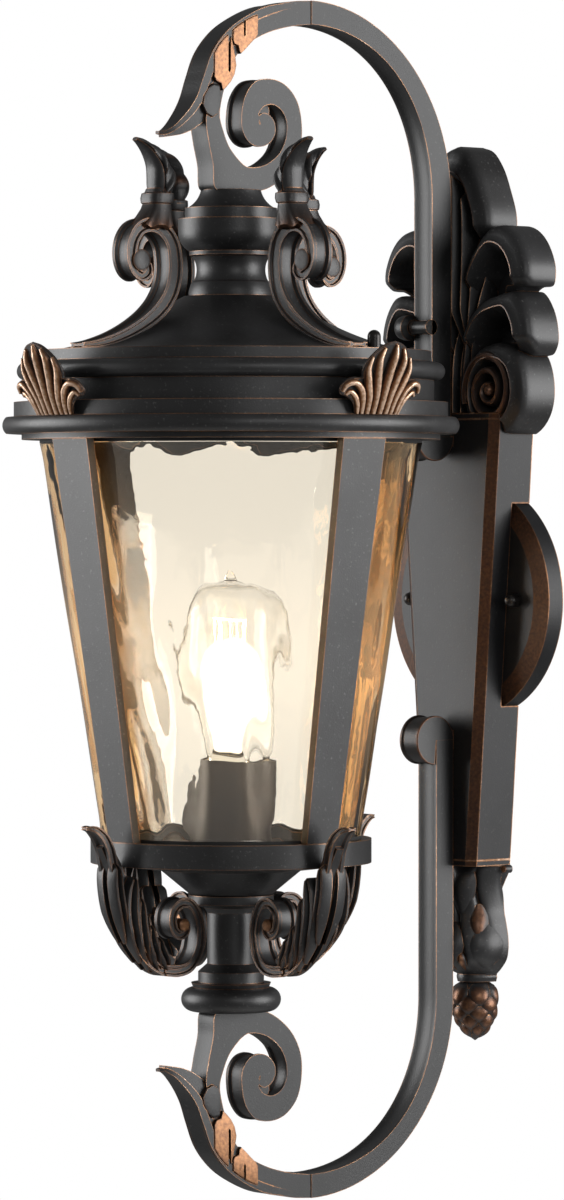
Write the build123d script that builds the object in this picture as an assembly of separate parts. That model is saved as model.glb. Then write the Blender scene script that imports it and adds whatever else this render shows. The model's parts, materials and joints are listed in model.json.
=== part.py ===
from build123d import *
import os
from math import cos, hypot, radians, sin

# Outdoor wall lantern: a tapering glass cage under a bell roof, held between two scrolled
# arms on a wall spine.
# Frame: millimetres, +Z up. The wall is the plane y = 0 and the lantern stands out along -Y.
# The origin is the centre of the wall bracket, level with the middle of the canopy disc.
# Each radial piece is drawn in the lantern's own (radius, height) plane, pointing to -Y,
# and is turned about the lantern's axis.

os.makedirs("parts", exist_ok=True)

# ---- driving dimensions -------------------------------------------------------------
reach = 170.0               # wall to the lantern's axis
spine_depth = 26.7          # wall to the face of the spine
arm_half_height = 302.0     # middle of the two arms to the crown of either
rim_top_z = 92.5            # joint between the cage and the roof
cage_height = 199.1         # rim's lip down to the base ring
roof_flange_r = 100.0       # edge of the roof
base_r = 70.3               # base ring
clearance = 0.3             # gap between pieces that are fitted by hand
fit_gap = 0.05              # radial gap of a rod in its hole
seat_gap = 0.1              # gap between stacked castings

# ---- roof, upwards from the rim -------------------------------------------------------
cornice_step_height = 7.5
cornice_band_height = 10.9
cornice_torus_height = 9.0
roof_flange_height = 5.5
roof_rise = 27.5
neck_height = 38.5
cap_collar_height = 5.5
cap_flare_height = 9.0
cornice_step_z = rim_top_z + cornice_step_height
cornice_torus_z = cornice_step_z + cornice_band_height
cornice_top_z = cornice_torus_z + cornice_torus_height
roof_flange_z = cornice_top_z + seat_gap + roof_flange_height
roof_top_z = roof_flange_z + roof_rise
neck_top_z = roof_top_z + neck_height
cap_collar_z = neck_top_z + cap_collar_height
cap_top_z = cap_collar_z + cap_flare_height

cap_top_r = 15.0
cap_collar_r = 23.0
neck_ovolo_r = 26.4
neck_cove_r = 18.2
neck_ring_r = 20.2
roof_top_r = 23.5
roof_flange_width = 8.0
roof_wall = 3.0
cornice_wall = 9.0
cornice_band_r = roof_flange_r + 1.5
cornice_torus_r = roof_flange_r + 7.0
cornice_step_r = roof_flange_r + 8.5

# ---- cage, downwards from the rim -------------------------------------------------------
rim_r = cornice_step_r + 5.7
rim_height = 8.2
rim_lip_height = 3.0
rim_lip_r = rim_r - 9.6
rim_hole_r = cornice_band_r - 10.5
rim_foot_z = rim_top_z - rim_height
lip_foot_z = rim_foot_z - rim_lip_height
base_top_z = lip_foot_z - cage_height
base_band_height = 12.0
base_wall = 3.0
base_ring_width = 12.1
base_foot_step = 3.0
base_foot_z = base_top_z - base_band_height
dish_brim_z = base_foot_z - 3.8
dish_brim_r = 35.5
dish_foot_z = dish_brim_z - 12.4
dish_foot_r = 20.5
column_height = 38.5
column_foot_z = dish_foot_z - column_height
column_r = 12.0
column_flange_r = 16.5
column_flange_height = 5.5
washer_top_z = column_foot_z - column_flange_height
washer_height = 14.4
washer_step = 2.4
washer_foot_z = washer_top_z - washer_height
washer_r = 25.0
glass_inset = 9.0           # rim's lip to the glass, and base ring to the glass below
glass_foot_inset = 5.1
glass_wall = 3.4
gasket_height = 1.6
glass_top_r = rim_lip_r - glass_inset
glass_foot_r = base_r - glass_foot_inset
post_top_width = 27.0
post_foot_width = 19.5
post_thickness = 4.6
post_setback = 2.2          # rim's lip to the outside of a post
post_top_r = rim_lip_r - post_setback

# ---- arms -------------------------------------------------------------------------------
bar_width = 14.0            # along X
bar_depth = 13.2            # in the arm's own plane
arm_standoff = 4.1          # face of the spine to the back of the upright bar
arch_centre = 46.9          # lantern axis to the crown of the arch
arch_height = 98.0          # crown of the arch above its springing
lug_r = 12.6                # curled end of the bar
seat_half = 15.5            # half length of the arm's seat on the cap
arm_leaf_width = 15.6
arm_pad_height = 10.0
arm_screw_length = 17.0
spine_front = reach - spine_depth
bar_back = spine_front - arm_standoff
lug_centre = bar_back - 8.8
arm_middle_z = (cap_top_z + washer_foot_z) / 2

# ---- wall side --------------------------------------------------------------------------
spine_top_z = 96.0
spine_foot_z = -137.0
spine_half_width = 26.1     # of the face, level with the origin
spine_taper = 0.0785        # half width gained per millimetre of height
spine_bevel = 5.0
spine_bevel_depth = 3.4
spine_wall = 3.0
upper_lug_z = spine_top_z - 12.0
lower_lug_z = spine_foot_z + 65.0
canopy_r = spine_half_width + 34.4   # clear of the strip between its studs
canopy_depth = 12.0
canopy_bevel = 9.5
canopy_bevel_depth = 2.2
canopy_wall = 2.6
canopy_window = (26.0, 64.0)
boss_z = 42.0               # spine bosses above and below the middle of the canopy
boss_r = 5.0
palmette_depth = 22.0
palmette_petal = 3.5
foot_end_z = spine_foot_z - 61.0
foot_axis_y = -6.0          # axis of the foot's neck and of the pinecone
foot_neck_r = 9.7
foot_neck_height = 5.0
pinecone_r = 13.0
pinecone_length = 31.4
pinecone_pin_r = 3.0
pinecone_pin_length = 8.0

# ---- wall bracket and its fasteners -------------------------------------------------------
bracket_sheet = 2.0
bracket_margin = 10.0
bracket_height = 24.0
anchor_hole_r = 2.6
anchor_spacing = 50.0
cable_hole_r = 6.5
stud_at = spine_half_width + spine_bevel + 7.9
stud_r = 2.0
stud_shoulder_r = 3.5
stud_end = 3.0              # end of a stud short of its nut's tip
cap_nut_r = 3.4
cap_nut_length = 7.9
screw_r = 2.0
screw_head_r = 3.6
screw_head_height = 2.2
spine_screw_length = 10.0
foot_screw_length = 15.0

# ---- lamp ---------------------------------------------------------------------------------
floor_top_z = base_foot_z + 6.3
holder_foot_z = floor_top_z + seat_gap
holder_height = 44.6
holder_r = 20.5
holder_taper = 1.5
holder_top_z = holder_foot_z + holder_height
holder_wall = 1.2
insulator_drop = 0.8
shell_r = 13.5
shell_wall = 0.5
bulb_cap_r = 13.1
bulb_cap_wall = 0.6
bulb_cap_length = 23.5
bulb_cap_top_z = holder_top_z - 1.2
bulb_cap_foot_z = bulb_cap_top_z - bulb_cap_length
bulb_r = 26.6
bulb_mouth_r = 13.4
bulb_height = 90.5          # its cap to the crown of its glass
bulb_pip_height = 6.0
bulb_glass_wall = 0.8
bulb_tip_height = 4.5
bulb_tip_glass = 3.2
bulb_tip_r = 4.8
stem_rod_r = 1.4
filament_r = 8.5
filament_wire_r = 0.3
filament_ring_half = 0.45
filament_low = 40.0         # above the lamp's cap
filament_high = 72.0
nipple_r = 4.0
nipple_bore_r = 2.6
nipple_end = 5.6            # below the washer, inside the lower arm
nipple_rise = 8.5
nipple_nut_r = 8.0
tie_rod_r = 3.0
tie_rod_rise = 7.8
tie_rod_drop = 10.0
tie_nut_r = 6.5
tie_nut_height = 6.0

# ---- ornament -----------------------------------------------------------------------------
bracket_thickness = 12.0
plume_thickness = 16.0
acanthus_thickness = 15.0
fan_height = 38.5
fan_thickness = 4.4
fan_setback = 4.2
fan_lean = 22.0
roof_stud_r = 2.0
roof_nut_r = 3.3
roof_nut_height = 8.6
roof_nut_bore = 6.2
roof_nut_at = roof_flange_r - 3.6
roof_nut_angle = 97.0

axis_place = Pos(0, -reach, 0)
radial = Plane(origin=(0, 0, 0), x_dir=(0, -1, 0), z_dir=(-1, 0, 0))
side_of_arm = Plane(origin=(0, -reach, 0), x_dir=(0, 1, 0), z_dir=(1, 0, 0))
quarter = {"front": 0, "right": 90, "back": 180, "left": 270}
far = 4 * reach             # longer than any piece, for cuts that go right through


# ---- helpers --------------------------------------------------------------------------------
def export(name, shape):
    """Writes one node: a solid, or a group of separate solids."""
    export_step(shape, f"parts/{name}.step")


def turned(edges):
    """A solid turned about the lantern's axis from a closed (radius, height) outline."""
    return axis_place * revolve(Plane.XZ * make_face(edges), Axis.Z)


def outline(*points):
    return Polyline(*points, close=True)


def ring(inner, outer, low, high):
    """A plain washer or sleeve about the lantern's axis."""
    return turned(outline((inner, low), (outer, low), (outer, high), (inner, high)))


def rod(radius, low, high):
    return axis_place * Pos(0, 0, (low + high) / 2) * Cylinder(radius, high - low)


def along_y(x, y, z, radius, length):
    """A rod or hole square to the wall, centred on a point."""
    return Pos(x, y, z) * Rot(90, 0, 0) * Cylinder(radius, length)


def turned_to(shape, angle):
    """Moves a piece drawn at the front to an angle about the lantern's axis."""
    return axis_place * Rot(0, 0, angle) * shape


def around(shape, side):
    return turned_to(shape, quarter[side])


def band(points):
    """A flat strip whose centreline passes through (x, y, width) points."""
    left, right = [], []
    for i, (x, y, width) in enumerate(points):
        before = points[max(i - 1, 0)]
        after = points[min(i + 1, len(points) - 1)]
        run = hypot(after[0] - before[0], after[1] - before[1])
        across_x = -(after[1] - before[1]) / run * width / 2
        across_y = (after[0] - before[0]) / run * width / 2
        left.append((x + across_x, y + across_y))
        right.append((x - across_x, y - across_y))
    sides = [Spline(*left), Line(left[-1], right[-1]), Spline(*right[::-1]), Line(right[0], left[0])]
    return make_face(sides)


def slab(plane, sketch, thickness):
    """A plate of the given thickness, half on each side of its plane."""
    return extrude(plane * sketch, amount=thickness / 2, both=True)


def mirrored(points):
    """The same points on the other side of the middle, in the opposite order."""
    return [(-x, y) for x, y in points[::-1]]


# ---- roof: cap, neck, shell and cornice ------------------------------------------------------
rod_bore = tie_rod_r + fit_gap


def make_cap():
    foot = neck_top_z + seat_gap
    lip_r = cap_collar_r - 1
    waist = (cap_top_r + 2.6, cap_collar_z + 0.4 * cap_flare_height)
    return turned([
        Line((rod_bore, foot), (cap_collar_r, foot)),
        Line((cap_collar_r, foot), (cap_collar_r, cap_collar_z)),
        Line((cap_collar_r, cap_collar_z), (lip_r, cap_collar_z)),
        ThreePointArc((lip_r, cap_collar_z), waist, (cap_top_r, cap_top_z)),
        Line((cap_top_r, cap_top_z), (rod_bore, cap_top_z)),
        Line((rod_bore, cap_top_z), (rod_bore, foot)),
    ])


def make_neck():
    """Rings and hollows turned in one piece: a foot ring, a cove, a thin ring and an ovolo."""
    foot = roof_top_z + seat_gap
    foot_r = neck_ring_r + 1
    bead_top = (neck_ring_r - 0.6, foot + 6.8)
    cove_foot = (neck_cove_r + 0.4, foot + 7.6)
    cove_top = (neck_cove_r + 1, foot + 19.5)
    thin_r = neck_ring_r + 0.6
    ovolo_top = (neck_ovolo_r, foot + 33)
    return turned([
        Line((rod_bore, foot), (foot_r, foot)),
        Line((foot_r, foot), (foot_r, foot + 1.6)),
        ThreePointArc((foot_r, foot + 1.6), (neck_ring_r + 0.4, foot + 4.4), bead_top),
        Line(bead_top, cove_foot),
        ThreePointArc(cove_foot, (neck_cove_r - 1, foot + 13), cove_top),
        Line(cove_top, (thin_r, foot + 20.2)),
        Line((thin_r, foot + 20.2), (thin_r, foot + 22.2)),
        ThreePointArc((thin_r, foot + 22.2), (neck_ovolo_r - 1.4, foot + 26.5), ovolo_top),
        Line(ovolo_top, (neck_ovolo_r, neck_top_z)),
        Line((neck_ovolo_r, neck_top_z), (rod_bore, neck_top_z)),
        Line((rod_bore, neck_top_z), (rod_bore, foot)),
    ])


roof_flat_r = roof_flange_r - roof_flange_width


def roof_curve(lift):
    """The bell line of the roof, from its top edge out to its flange."""
    slope = [(0.241, 0.673), (0.474, 0.389), (0.737, 0.142)]
    width = roof_flat_r - roof_top_r
    between = [(roof_top_r + out * width, roof_flange_z + up * roof_rise + lift) for out, up in slope]
    return Spline((roof_top_r, roof_top_z + lift), *between, (roof_flat_r, roof_flange_z + lift))


def make_roof():
    low = roof_flange_z - roof_flange_height
    seat_r = roof_flat_r - 4
    under_top = roof_top_z - roof_wall
    return turned([
        roof_curve(0),
        Line((roof_flat_r, roof_flange_z), (roof_flange_r, roof_flange_z)),
        Line((roof_flange_r, roof_flange_z), (roof_flange_r, low)),
        Line((roof_flange_r, low), (seat_r, low)),
        Line((seat_r, low), (roof_flat_r, roof_flange_z - roof_wall)),
        roof_curve(-roof_wall),
        Line((roof_top_r, under_top), (rod_bore, under_top)),
        Line((rod_bore, under_top), (rod_bore, roof_top_z)),
        Line((rod_bore, roof_top_z), (roof_top_r, roof_top_z)),
    ])


def make_cornice():
    inner = cornice_band_r - cornice_wall
    foot = rim_top_z + seat_gap
    bulge = cornice_torus_height / 2
    flat_r = cornice_torus_r - bulge
    bulge_at = (cornice_torus_r, cornice_top_z - bulge)
    return turned([
        Line((inner, cornice_top_z), (flat_r, cornice_top_z)),
        ThreePointArc((flat_r, cornice_top_z), bulge_at, (flat_r, cornice_torus_z)),
        Line((flat_r, cornice_torus_z), (cornice_band_r, cornice_torus_z)),
        Line((cornice_band_r, cornice_torus_z), (cornice_band_r, cornice_step_z)),
        Line((cornice_band_r, cornice_step_z), (cornice_step_r, cornice_step_z)),
        Line((cornice_step_r, cornice_step_z), (cornice_step_r, foot)),
        Line((cornice_step_r, foot), (inner, foot)),
        Line((inner, foot), (inner, cornice_top_z)),
    ])


# ---- cage: rim, posts, glass and base -----------------------------------------------------------
def make_rim():
    bulge = 1.8
    flat_r = rim_r - bulge
    middle = (rim_r, (rim_foot_z + rim_top_z) / 2)
    return turned([
        Line((rim_hole_r, lip_foot_z), (rim_lip_r, lip_foot_z)),
        Line((rim_lip_r, lip_foot_z), (rim_lip_r, rim_foot_z)),
        Line((rim_lip_r, rim_foot_z), (flat_r, rim_foot_z)),
        ThreePointArc((flat_r, rim_foot_z), middle, (flat_r, rim_top_z)),
        Line((flat_r, rim_top_z), (rim_hole_r, rim_top_z)),
        Line((rim_hole_r, rim_top_z), (rim_hole_r, lip_foot_z)),
    ])


def make_post(side):
    """A flat tapering bar from the base ring's edge to the rim's lip, leaning outwards."""
    top = lip_foot_z - seat_gap
    foot = base_top_z + seat_gap
    lean = outline(
        (base_r, foot), (post_top_r, top),
        (post_top_r - post_thickness, top), (base_r - post_thickness, foot),
    )
    face = Plane.XZ * make_face(outline(
        (-post_foot_width / 2, foot), (post_foot_width / 2, foot),
        (post_top_width / 2, top), (-post_top_width / 2, top),
    ))
    bar = slab(radial, make_face(lean), 2 * max(post_top_width, post_foot_width))
    return around(bar & extrude(face, amount=far), side)


glass_top_z = lip_foot_z - seat_gap - gasket_height
glass_foot_z = base_top_z + seat_gap + gasket_height


def make_glass():
    return turned(outline(
        (glass_foot_r, glass_foot_z), (glass_top_r, glass_top_z),
        (glass_top_r - glass_wall, glass_top_z), (glass_foot_r - glass_wall, glass_foot_z),
    ))


def make_seal(outer, low, high):
    """Rubber ring between an end of the glass and its seat."""
    squeeze = 0.02
    return ring(outer - glass_wall, outer, low + squeeze, high - squeeze)


def make_base():
    """The base ring with a floor, and a shallow dish under it down to the column."""
    foot_r = base_r - base_foot_step
    floor_r = base_r - base_ring_width
    bore = nipple_r + fit_gap
    return turned([
        Line((base_r, base_top_z), (base_r, base_foot_z)),
        Line((base_r, base_foot_z), (foot_r, base_foot_z)),
        Line((foot_r, base_foot_z), (dish_brim_r, dish_brim_z)),
        Line((dish_brim_r, dish_brim_z), (dish_foot_r, dish_foot_z)),
        Line((dish_foot_r, dish_foot_z), (bore, dish_foot_z)),
        Line((bore, dish_foot_z), (bore, floor_top_z)),
        Line((bore, floor_top_z), (floor_r, floor_top_z)),
        Line((floor_r, floor_top_z), (floor_r, base_top_z)),
        Line((floor_r, base_top_z), (base_r, base_top_z)),
    ])


def make_column():
    top = dish_foot_z - seat_gap
    bore = nipple_r + fit_gap
    collar_r = dish_foot_r + 0.8
    return turned(outline(
        (bore, top), (collar_r, top), (collar_r, top - 4.4), (column_r + 1.6, top - 6.4),
        (column_r, top - 9), (column_r, column_foot_z + 4), (column_flange_r, column_foot_z),
        (column_flange_r, washer_top_z + seat_gap), (bore, washer_top_z + seat_gap),
    ))


def make_washer():
    step_z = washer_top_z - washer_step
    bulge = (step_z - washer_foot_z) / 2
    flat_r = washer_r - bulge
    bore = nipple_r + fit_gap
    return turned([
        Line((bore, washer_top_z), (flat_r + 1, washer_top_z)),
        Line((flat_r + 1, washer_top_z), (flat_r, step_z)),
        ThreePointArc((flat_r, step_z), (washer_r, washer_foot_z + bulge), (flat_r, washer_foot_z)),
        Line((flat_r, washer_foot_z), (bore, washer_foot_z)),
        Line((bore, washer_foot_z), (bore, washer_top_z)),
    ])


# ---- arms ----------------------------------------------------------------------------------------
crown_z = arm_middle_z + arm_half_height
spring_z = crown_z - arch_height
seat_z = cap_top_z + seat_gap
scroll_centre = (21.0, seat_z + 34.9)
scroll_r = 20.2
eye_centre = (13.4, seat_z + 34.5)
eye_r = 12.4
hollow_centre = (17.3, seat_z + 28.9)
hollow_r = 14.2


def rise(share):
    """Height a share of the way from the arm's seat on the cap up to its crown."""
    return seat_z + share * (crown_z - seat_z)


def above_seat(*points):
    return [(x, seat_z + height) for x, height in points]


def arm_sketch(lug_z):
    """Side view of the upper arm: upright bar, arch, strap down to the cap and its scroll."""
    bar_front = bar_back - bar_depth
    half_span = bar_back - arch_centre
    inner_span, inner_height = half_span - bar_depth, arch_height - bar_depth
    leaf_tip = (-45.5, rise(0.293))
    leaf_under = (-46, rise(0.274))
    fold = (-22.5, rise(0.361))
    fork = (-13, rise(0.444))
    leaf_ridge = [(24, 0.967), (3, 0.894), (-12.4, 0.790), (-19.6, 0.661), (-25.6, 0.480), (-33.5, 0.366)]
    inside = [(-8.5, 0.599), (5, 0.754), (24, 0.837)]
    arch = make_face([
        Line((bar_back, lug_z), (bar_back, spring_z)),
        EllipticalCenterArc((arch_centre, spring_z), half_span, arch_height, arc_size=90),
        Spline((arch_centre, crown_z), *[(x, rise(share)) for x, share in leaf_ridge], leaf_tip),
        Line(leaf_tip, leaf_under),
        Spline(leaf_under, (-32, rise(0.280)), fold),
        Line(fold, fork),
        Spline(fork, *[(x, rise(share)) for x, share in inside], (arch_centre, crown_z - bar_depth)),
        EllipticalCenterArc((arch_centre, spring_z), inner_span, inner_height, arc_size=90),
        Line((bar_front, spring_z), (bar_front, lug_z)),
        Line((bar_front, lug_z), (bar_back, lug_z)),
    ])
    heel = (seat_half + 1.5, seat_z)
    toe = (-seat_half, seat_z)
    scroll_side = (scroll_centre[0] + scroll_r, scroll_centre[1])
    neck = (-13, rise(0.475))
    strap = make_face([
        Line(toe, heel),
        Spline(heel, (30, seat_z + 8.4), scroll_side),
        Line(scroll_side, scroll_centre),
        Line(scroll_centre, neck),
        Line(neck, fold),
        Line(fold, toe),
    ])
    curve = above_seat((-12.6, 43.4), (-11, 29.9), (-4.5, 17.9), (6, 12.5), (18, 14.5))
    corners = above_seat((18, 14.5), (18, 25.9), (1, 49.9), (-12.6, 43.4))
    throat = make_face([Spline(*curve), Polyline(*corners)])
    turn = Pos(*scroll_centre) * Circle(scroll_r) - Pos(*hollow_centre) * Circle(hollow_r)
    scroll = strap - throat + turn + Pos(*eye_centre) * Circle(eye_r)
    return arch + Pos(lug_centre, lug_z) * Circle(lug_r) + scroll


def arm_leaf():
    """The acanthus leaf that wraps the front of the arch and flares out to its tip."""
    half = arm_leaf_width / 2
    blade = band([
        (14, rise(0.935), 4.0), (-4, rise(0.837), 5.5), (-15, rise(0.681), 6.5), (-22.5, rise(0.516), 7.0),
        (-31, rise(0.382), 5.0), (-45.6, rise(0.289), 2.2),
    ])
    tip = (0, rise(0.252))
    edge = [tip, (half - 2, rise(0.382)), (half, rise(0.578)), (bar_width / 2, rise(0.961))]
    face = Plane.XZ * make_face([
        Spline(*edge),
        Line(edge[-1], mirrored(edge)[0]),
        Spline(*mirrored(edge)),
    ])
    return slab(side_of_arm, blade, 2 * arm_leaf_width) & extrude(face, amount=far)


def make_arm(lug_z):
    """The upper arm, with its lug at height lug_z and a pad that stands on the spine."""
    arm = slab(side_of_arm, arm_sketch(lug_z), bar_width) + arm_leaf()
    pad = spine_front - lug_centre
    arm += Pos(0, -spine_depth - pad / 2, lug_z) * Box(bar_width, pad, arm_pad_height)
    arm -= rod(rod_bore, cap_top_z - 5, cap_top_z + tie_rod_rise + 0.2)
    return arm - along_y(0, -spine_depth, lug_z, screw_r + fit_gap, 2 * arm_screw_length - 2)


def make_lower_arm():
    """The mirror of the upper arm, bored for the nipple under the washer."""
    arm = mirror(make_arm(2 * arm_middle_z - lower_lug_z), Plane.XY.offset(arm_middle_z))
    return arm - rod(nipple_r + fit_gap, washer_foot_z - nipple_end - 0.2, washer_foot_z + 1)


# ---- spine, canopy and wall ornament -----------------------------------------------------------------
def half_width(z):
    return spine_half_width + spine_taper * z


def spine_section(z, inset):
    """Section of the spine at height z, bevelled at its front, shrunk by inset for its hollow."""
    side = half_width(z) + spine_bevel - inset
    face = half_width(z) - inset * 0.6
    front = inset - spine_depth
    shoulder = front + spine_bevel_depth
    return Plane.XY.offset(z) * make_face(outline(
        (-side, 0), (-side, shoulder), (-face, front), (face, front), (side, shoulder), (side, 0),
    ))


def spine_block(grow):
    """Solid outside of the spine, grown a little, which cuts its seat in its neighbours."""
    return loft([spine_section(spine_foot_z, -grow), spine_section(spine_top_z, -grow)])


def canopy_block(depth, radius):
    return along_y(0, -depth / 2, 0, radius, depth)


inside_face = spine_wall - spine_depth
palmette_screw_z = spine_top_z - 7.0
palmette_screw_y = -9.0
palmette_screw_length = 8.0
palmette_screw_seat = (
    half_width(palmette_screw_z - screw_head_r) + spine_bevel - spine_wall - seat_gap
)


def make_end_plate(low, high):
    """Plate that closes an end of the spine, with the spine's own outline."""
    return loft([spine_section(low, 0), spine_section(high, 0)])


def make_foot_plate():
    plate = make_end_plate(spine_foot_z, spine_foot_z + spine_wall)
    return plate - Pos(0, foot_axis_y, spine_foot_z) * Cylinder(screw_r + fit_gap, 3 * spine_wall)


def make_spine():
    """Tapered channel open to the wall, with two bosses that stand on the canopy."""
    low = spine_foot_z + spine_wall + seat_gap
    high = spine_top_z - spine_wall - seat_gap
    bore = screw_r + fit_gap
    boss_depth = -inside_face - canopy_depth - seat_gap
    boss_y = inside_face + boss_depth / 2
    spine = loft([spine_section(low, 0), spine_section(high, 0)])
    spine -= loft([spine_section(low - 1, spine_wall), spine_section(high + 1, spine_wall)])
    spine -= canopy_block(canopy_depth + seat_gap, canopy_r + clearance)
    for height in (boss_z, -boss_z):
        spine += along_y(0, boss_y, height, boss_r, boss_depth)
        spine -= along_y(0, boss_y + 1, height, bore, boss_depth)
    for height in (upper_lug_z, lower_lug_z):
        spine -= along_y(0, inside_face, height, bore, 3 * spine_wall)
    for side in (-1, 1):
        place = Pos(side * half_width(palmette_screw_z), palmette_screw_y, palmette_screw_z)
        spine -= place * Rot(0, 90, 0) * Cylinder(bore, 14)
    return spine


def make_canopy():
    """Shallow round cup against the wall, with a sunk face and holes for its two nuts."""
    disc = canopy_block(canopy_depth, canopy_r)
    front_edge = disc.edges().sort_by(Axis.Y)[0]
    disc = chamfer(front_edge, canopy_bevel_depth, canopy_bevel)
    disc -= canopy_block(canopy_depth - canopy_wall, canopy_r - canopy_bevel)
    width, height = canopy_window
    disc -= Pos(0, -canopy_depth, 0) * Box(width, 2 * canopy_depth, height)
    for side in (-1, 1):
        disc -= along_y(side * stud_at, -canopy_depth, 0, stud_r + fit_gap, canopy_depth)
        disc -= along_y(0, -canopy_depth, side * boss_z, screw_r + fit_gap, canopy_depth)
    return disc


def make_wall_palmette():
    """Upright fan of lobes over two scrolls, the same on both sides of the spine."""
    lobes = [
        (0, 138.0), (8, 135.5), (15.2, 128), (21.5, 115), (26.4, 99), (27.7, 95.4), (38.5, 95.2), (46.1, 90.8),
        (52.6, 82), (55.5, 72.5), (54.1, 65.5), (45.6, 64), (46.1, 61.6), (53.3, 53.8), (56.8, 44), (57.1, 35.5),
        (53.7, 30), (48.8, 29), (49.7, 26), (53.5, 18), (54.2, 8), (52.4, -0.5), (48, -7.5), (41, -11.7),
        (0, -11.7),
    ]
    right = [(x, spine_top_z + height) for x, height in lobes]
    left = mirrored(right)[1:-1]
    plate = extrude(Plane.XZ * make_face(outline(*(right + left))), amount=palmette_depth)
    low = spine_top_z + 4
    petal = extrude(Plane.XZ.offset(palmette_depth) * make_face([
        Spline((9, low), (18, low + 90), (0, low + 129), (-18, low + 90), (-9, low)),
        Line((-9, low), (9, low)),
    ]), amount=palmette_petal)
    reach_out = palmette_screw_seat + palmette_screw_length + 0.5
    place = Pos(0, palmette_screw_y, palmette_screw_z) * Rot(0, 90, 0)
    return plate + petal - spine_block(seat_gap) - place * Cylinder(screw_r + fit_gap, 2 * reach_out)


def make_foot_leaf():
    """Casting that closes the spine's foot: a rolled lip, folded leaves and a round neck."""
    top = spine_foot_z - seat_gap
    low = foot_end_z + 4
    drop = top - low
    half = half_width(spine_foot_z) + spine_bevel
    depths = [(19.5, 0), (23.5, 0.174), (22.5, 0.403), (27, 0.649), (25.5, 0.859), (15.7, 1)]
    profile = [(depth, top - share * drop) for depth, share in depths]
    side = make_face([Spline(*profile), Polyline(profile[-1], (0, low), (0, top), profile[0])])
    widths = [(1.6, 0), (-2.9, 0.174), (-4.4, 0.403), (-0.9, 0.649), (-2.4, 0.859), (-10.9, 1)]
    right = [(half + more, top - share * drop) for more, share in widths]
    left = mirrored(right)
    front = make_face([Spline(*right), Line(right[-1], left[0]), Spline(*left), Line(left[-1], right[0])])
    leaf = extrude(Plane.YZ * mirror(side, Plane.YZ), amount=2 * half, both=True)
    leaf &= extrude(Plane.XZ * front, amount=far)
    neck = Pos(0, foot_axis_y, foot_end_z + foot_neck_height / 2) * Cylinder(foot_neck_r, foot_neck_height)
    neck &= Pos(0, -far / 2, foot_end_z) * Box(far, far, far)
    screw_hole = Pos(0, foot_axis_y, top) * Cylinder(screw_r + fit_gap, 2 * foot_screw_length)
    pin_hole = Cylinder(pinecone_pin_r + fit_gap, 2 * pinecone_pin_length + 1)
    return leaf + neck - screw_hole - Pos(0, foot_axis_y, foot_end_z) * pin_hole


def make_pinecone():
    """Bud with a flat back against the wall, on a pin that fits the foot's neck."""
    top = foot_end_z - seat_gap
    tip = top - pinecone_length
    shoulder = (foot_neck_r - 0.5, top)
    curve = [(-0.6, 0.22), (0, 0.427), (-3.6, 0.745)]
    between = [(pinecone_r + more, top - share * pinecone_length) for more, share in curve]
    profile = make_face([
        Line((0, top), shoulder),
        Spline(shoulder, *between, (0.8, tip)),
        Polyline((0.8, tip), (0, tip), (0, top)),
    ])
    pin = Pos(0, 0, top + pinecone_pin_length / 2) * Cylinder(pinecone_pin_r, pinecone_pin_length)
    bud = Pos(0, foot_axis_y, 0) * (revolve(Plane.XZ * profile, Axis.Z) + pin)
    return bud & Pos(0, -far / 2, top) * Box(far, far, far)


# ---- wall bracket, screws and wiring -------------------------------------------------------------------
def make_wall_bracket():
    """Steel strip across the wall box, with two anchor holes, a cable hole and stud holes."""
    length = 2 * (stud_at + bracket_margin)
    strip = Pos(0, -bracket_sheet / 2, 0) * Box(length, bracket_sheet, bracket_height)
    strip -= along_y(0, 0, 0, cable_hole_r, 3 * bracket_sheet)
    for side in (-1, 1):
        strip -= along_y(side * anchor_spacing / 2, 0, 0, anchor_hole_r, 3 * bracket_sheet)
        strip -= along_y(side * stud_at, 0, 0, stud_r + fit_gap, 3 * bracket_sheet)
    return strip


nut_foot_y = -canopy_depth - seat_gap


def make_canopy_studs():
    """Threaded studs pressed into the strip, each with a shoulder behind the canopy's face."""
    studs = []
    tip = nut_foot_y - cap_nut_length + stud_end
    shoulder = canopy_depth - canopy_wall - bracket_sheet - 2 * seat_gap
    shoulder_y = -bracket_sheet - seat_gap - shoulder / 2
    for side in (-1, 1):
        stud = along_y(side * stud_at, tip / 2, 0, stud_r, -tip)
        studs.append(stud + along_y(side * stud_at, shoulder_y, 0, stud_shoulder_r, shoulder))
    return Compound(children=studs)


def cap_nut(radius, length, bore_r, bore_depth):
    """Domed nut with its foot at z = 0, bored for a stud."""
    body = Cylinder(radius, length - radius, align=(Align.CENTER, Align.CENTER, Align.MIN))
    return body + Pos(0, 0, length - radius) * Sphere(radius) - Cylinder(bore_r, 2 * bore_depth)


def make_canopy_nuts():
    """Domed cap nuts that hold the canopy on the studs, one on each side of the spine."""
    nut = cap_nut(cap_nut_r, cap_nut_length, stud_r + fit_gap, cap_nut_length - stud_end + seat_gap)
    return Compound(children=[Pos(side * stud_at, nut_foot_y, 0) * Rot(90, 0, 0) * nut for side in (-1, 1)])


terminal_z = 18.0
terminal_size = (30.0, 10.0, 14.0)
terminal_pitch = 9.5
terminal_wire_r = 1.9
terminal_screw_r = 1.7


def make_terminal_block():
    """Three-pole block fixed inside the spine, with wire entries and screws."""
    width, depth, height = terminal_size
    y = inside_face + seat_gap + depth / 2
    block = Pos(0, y, terminal_z) * Box(width, depth, height)
    for pole in (-1, 0, 1):
        block -= Pos(pole * terminal_pitch, y, terminal_z) * Cylinder(terminal_wire_r, height + 2)
        block -= along_y(pole * terminal_pitch, y + depth / 2, terminal_z + 3.5, terminal_screw_r, 6)
    return block


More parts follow.
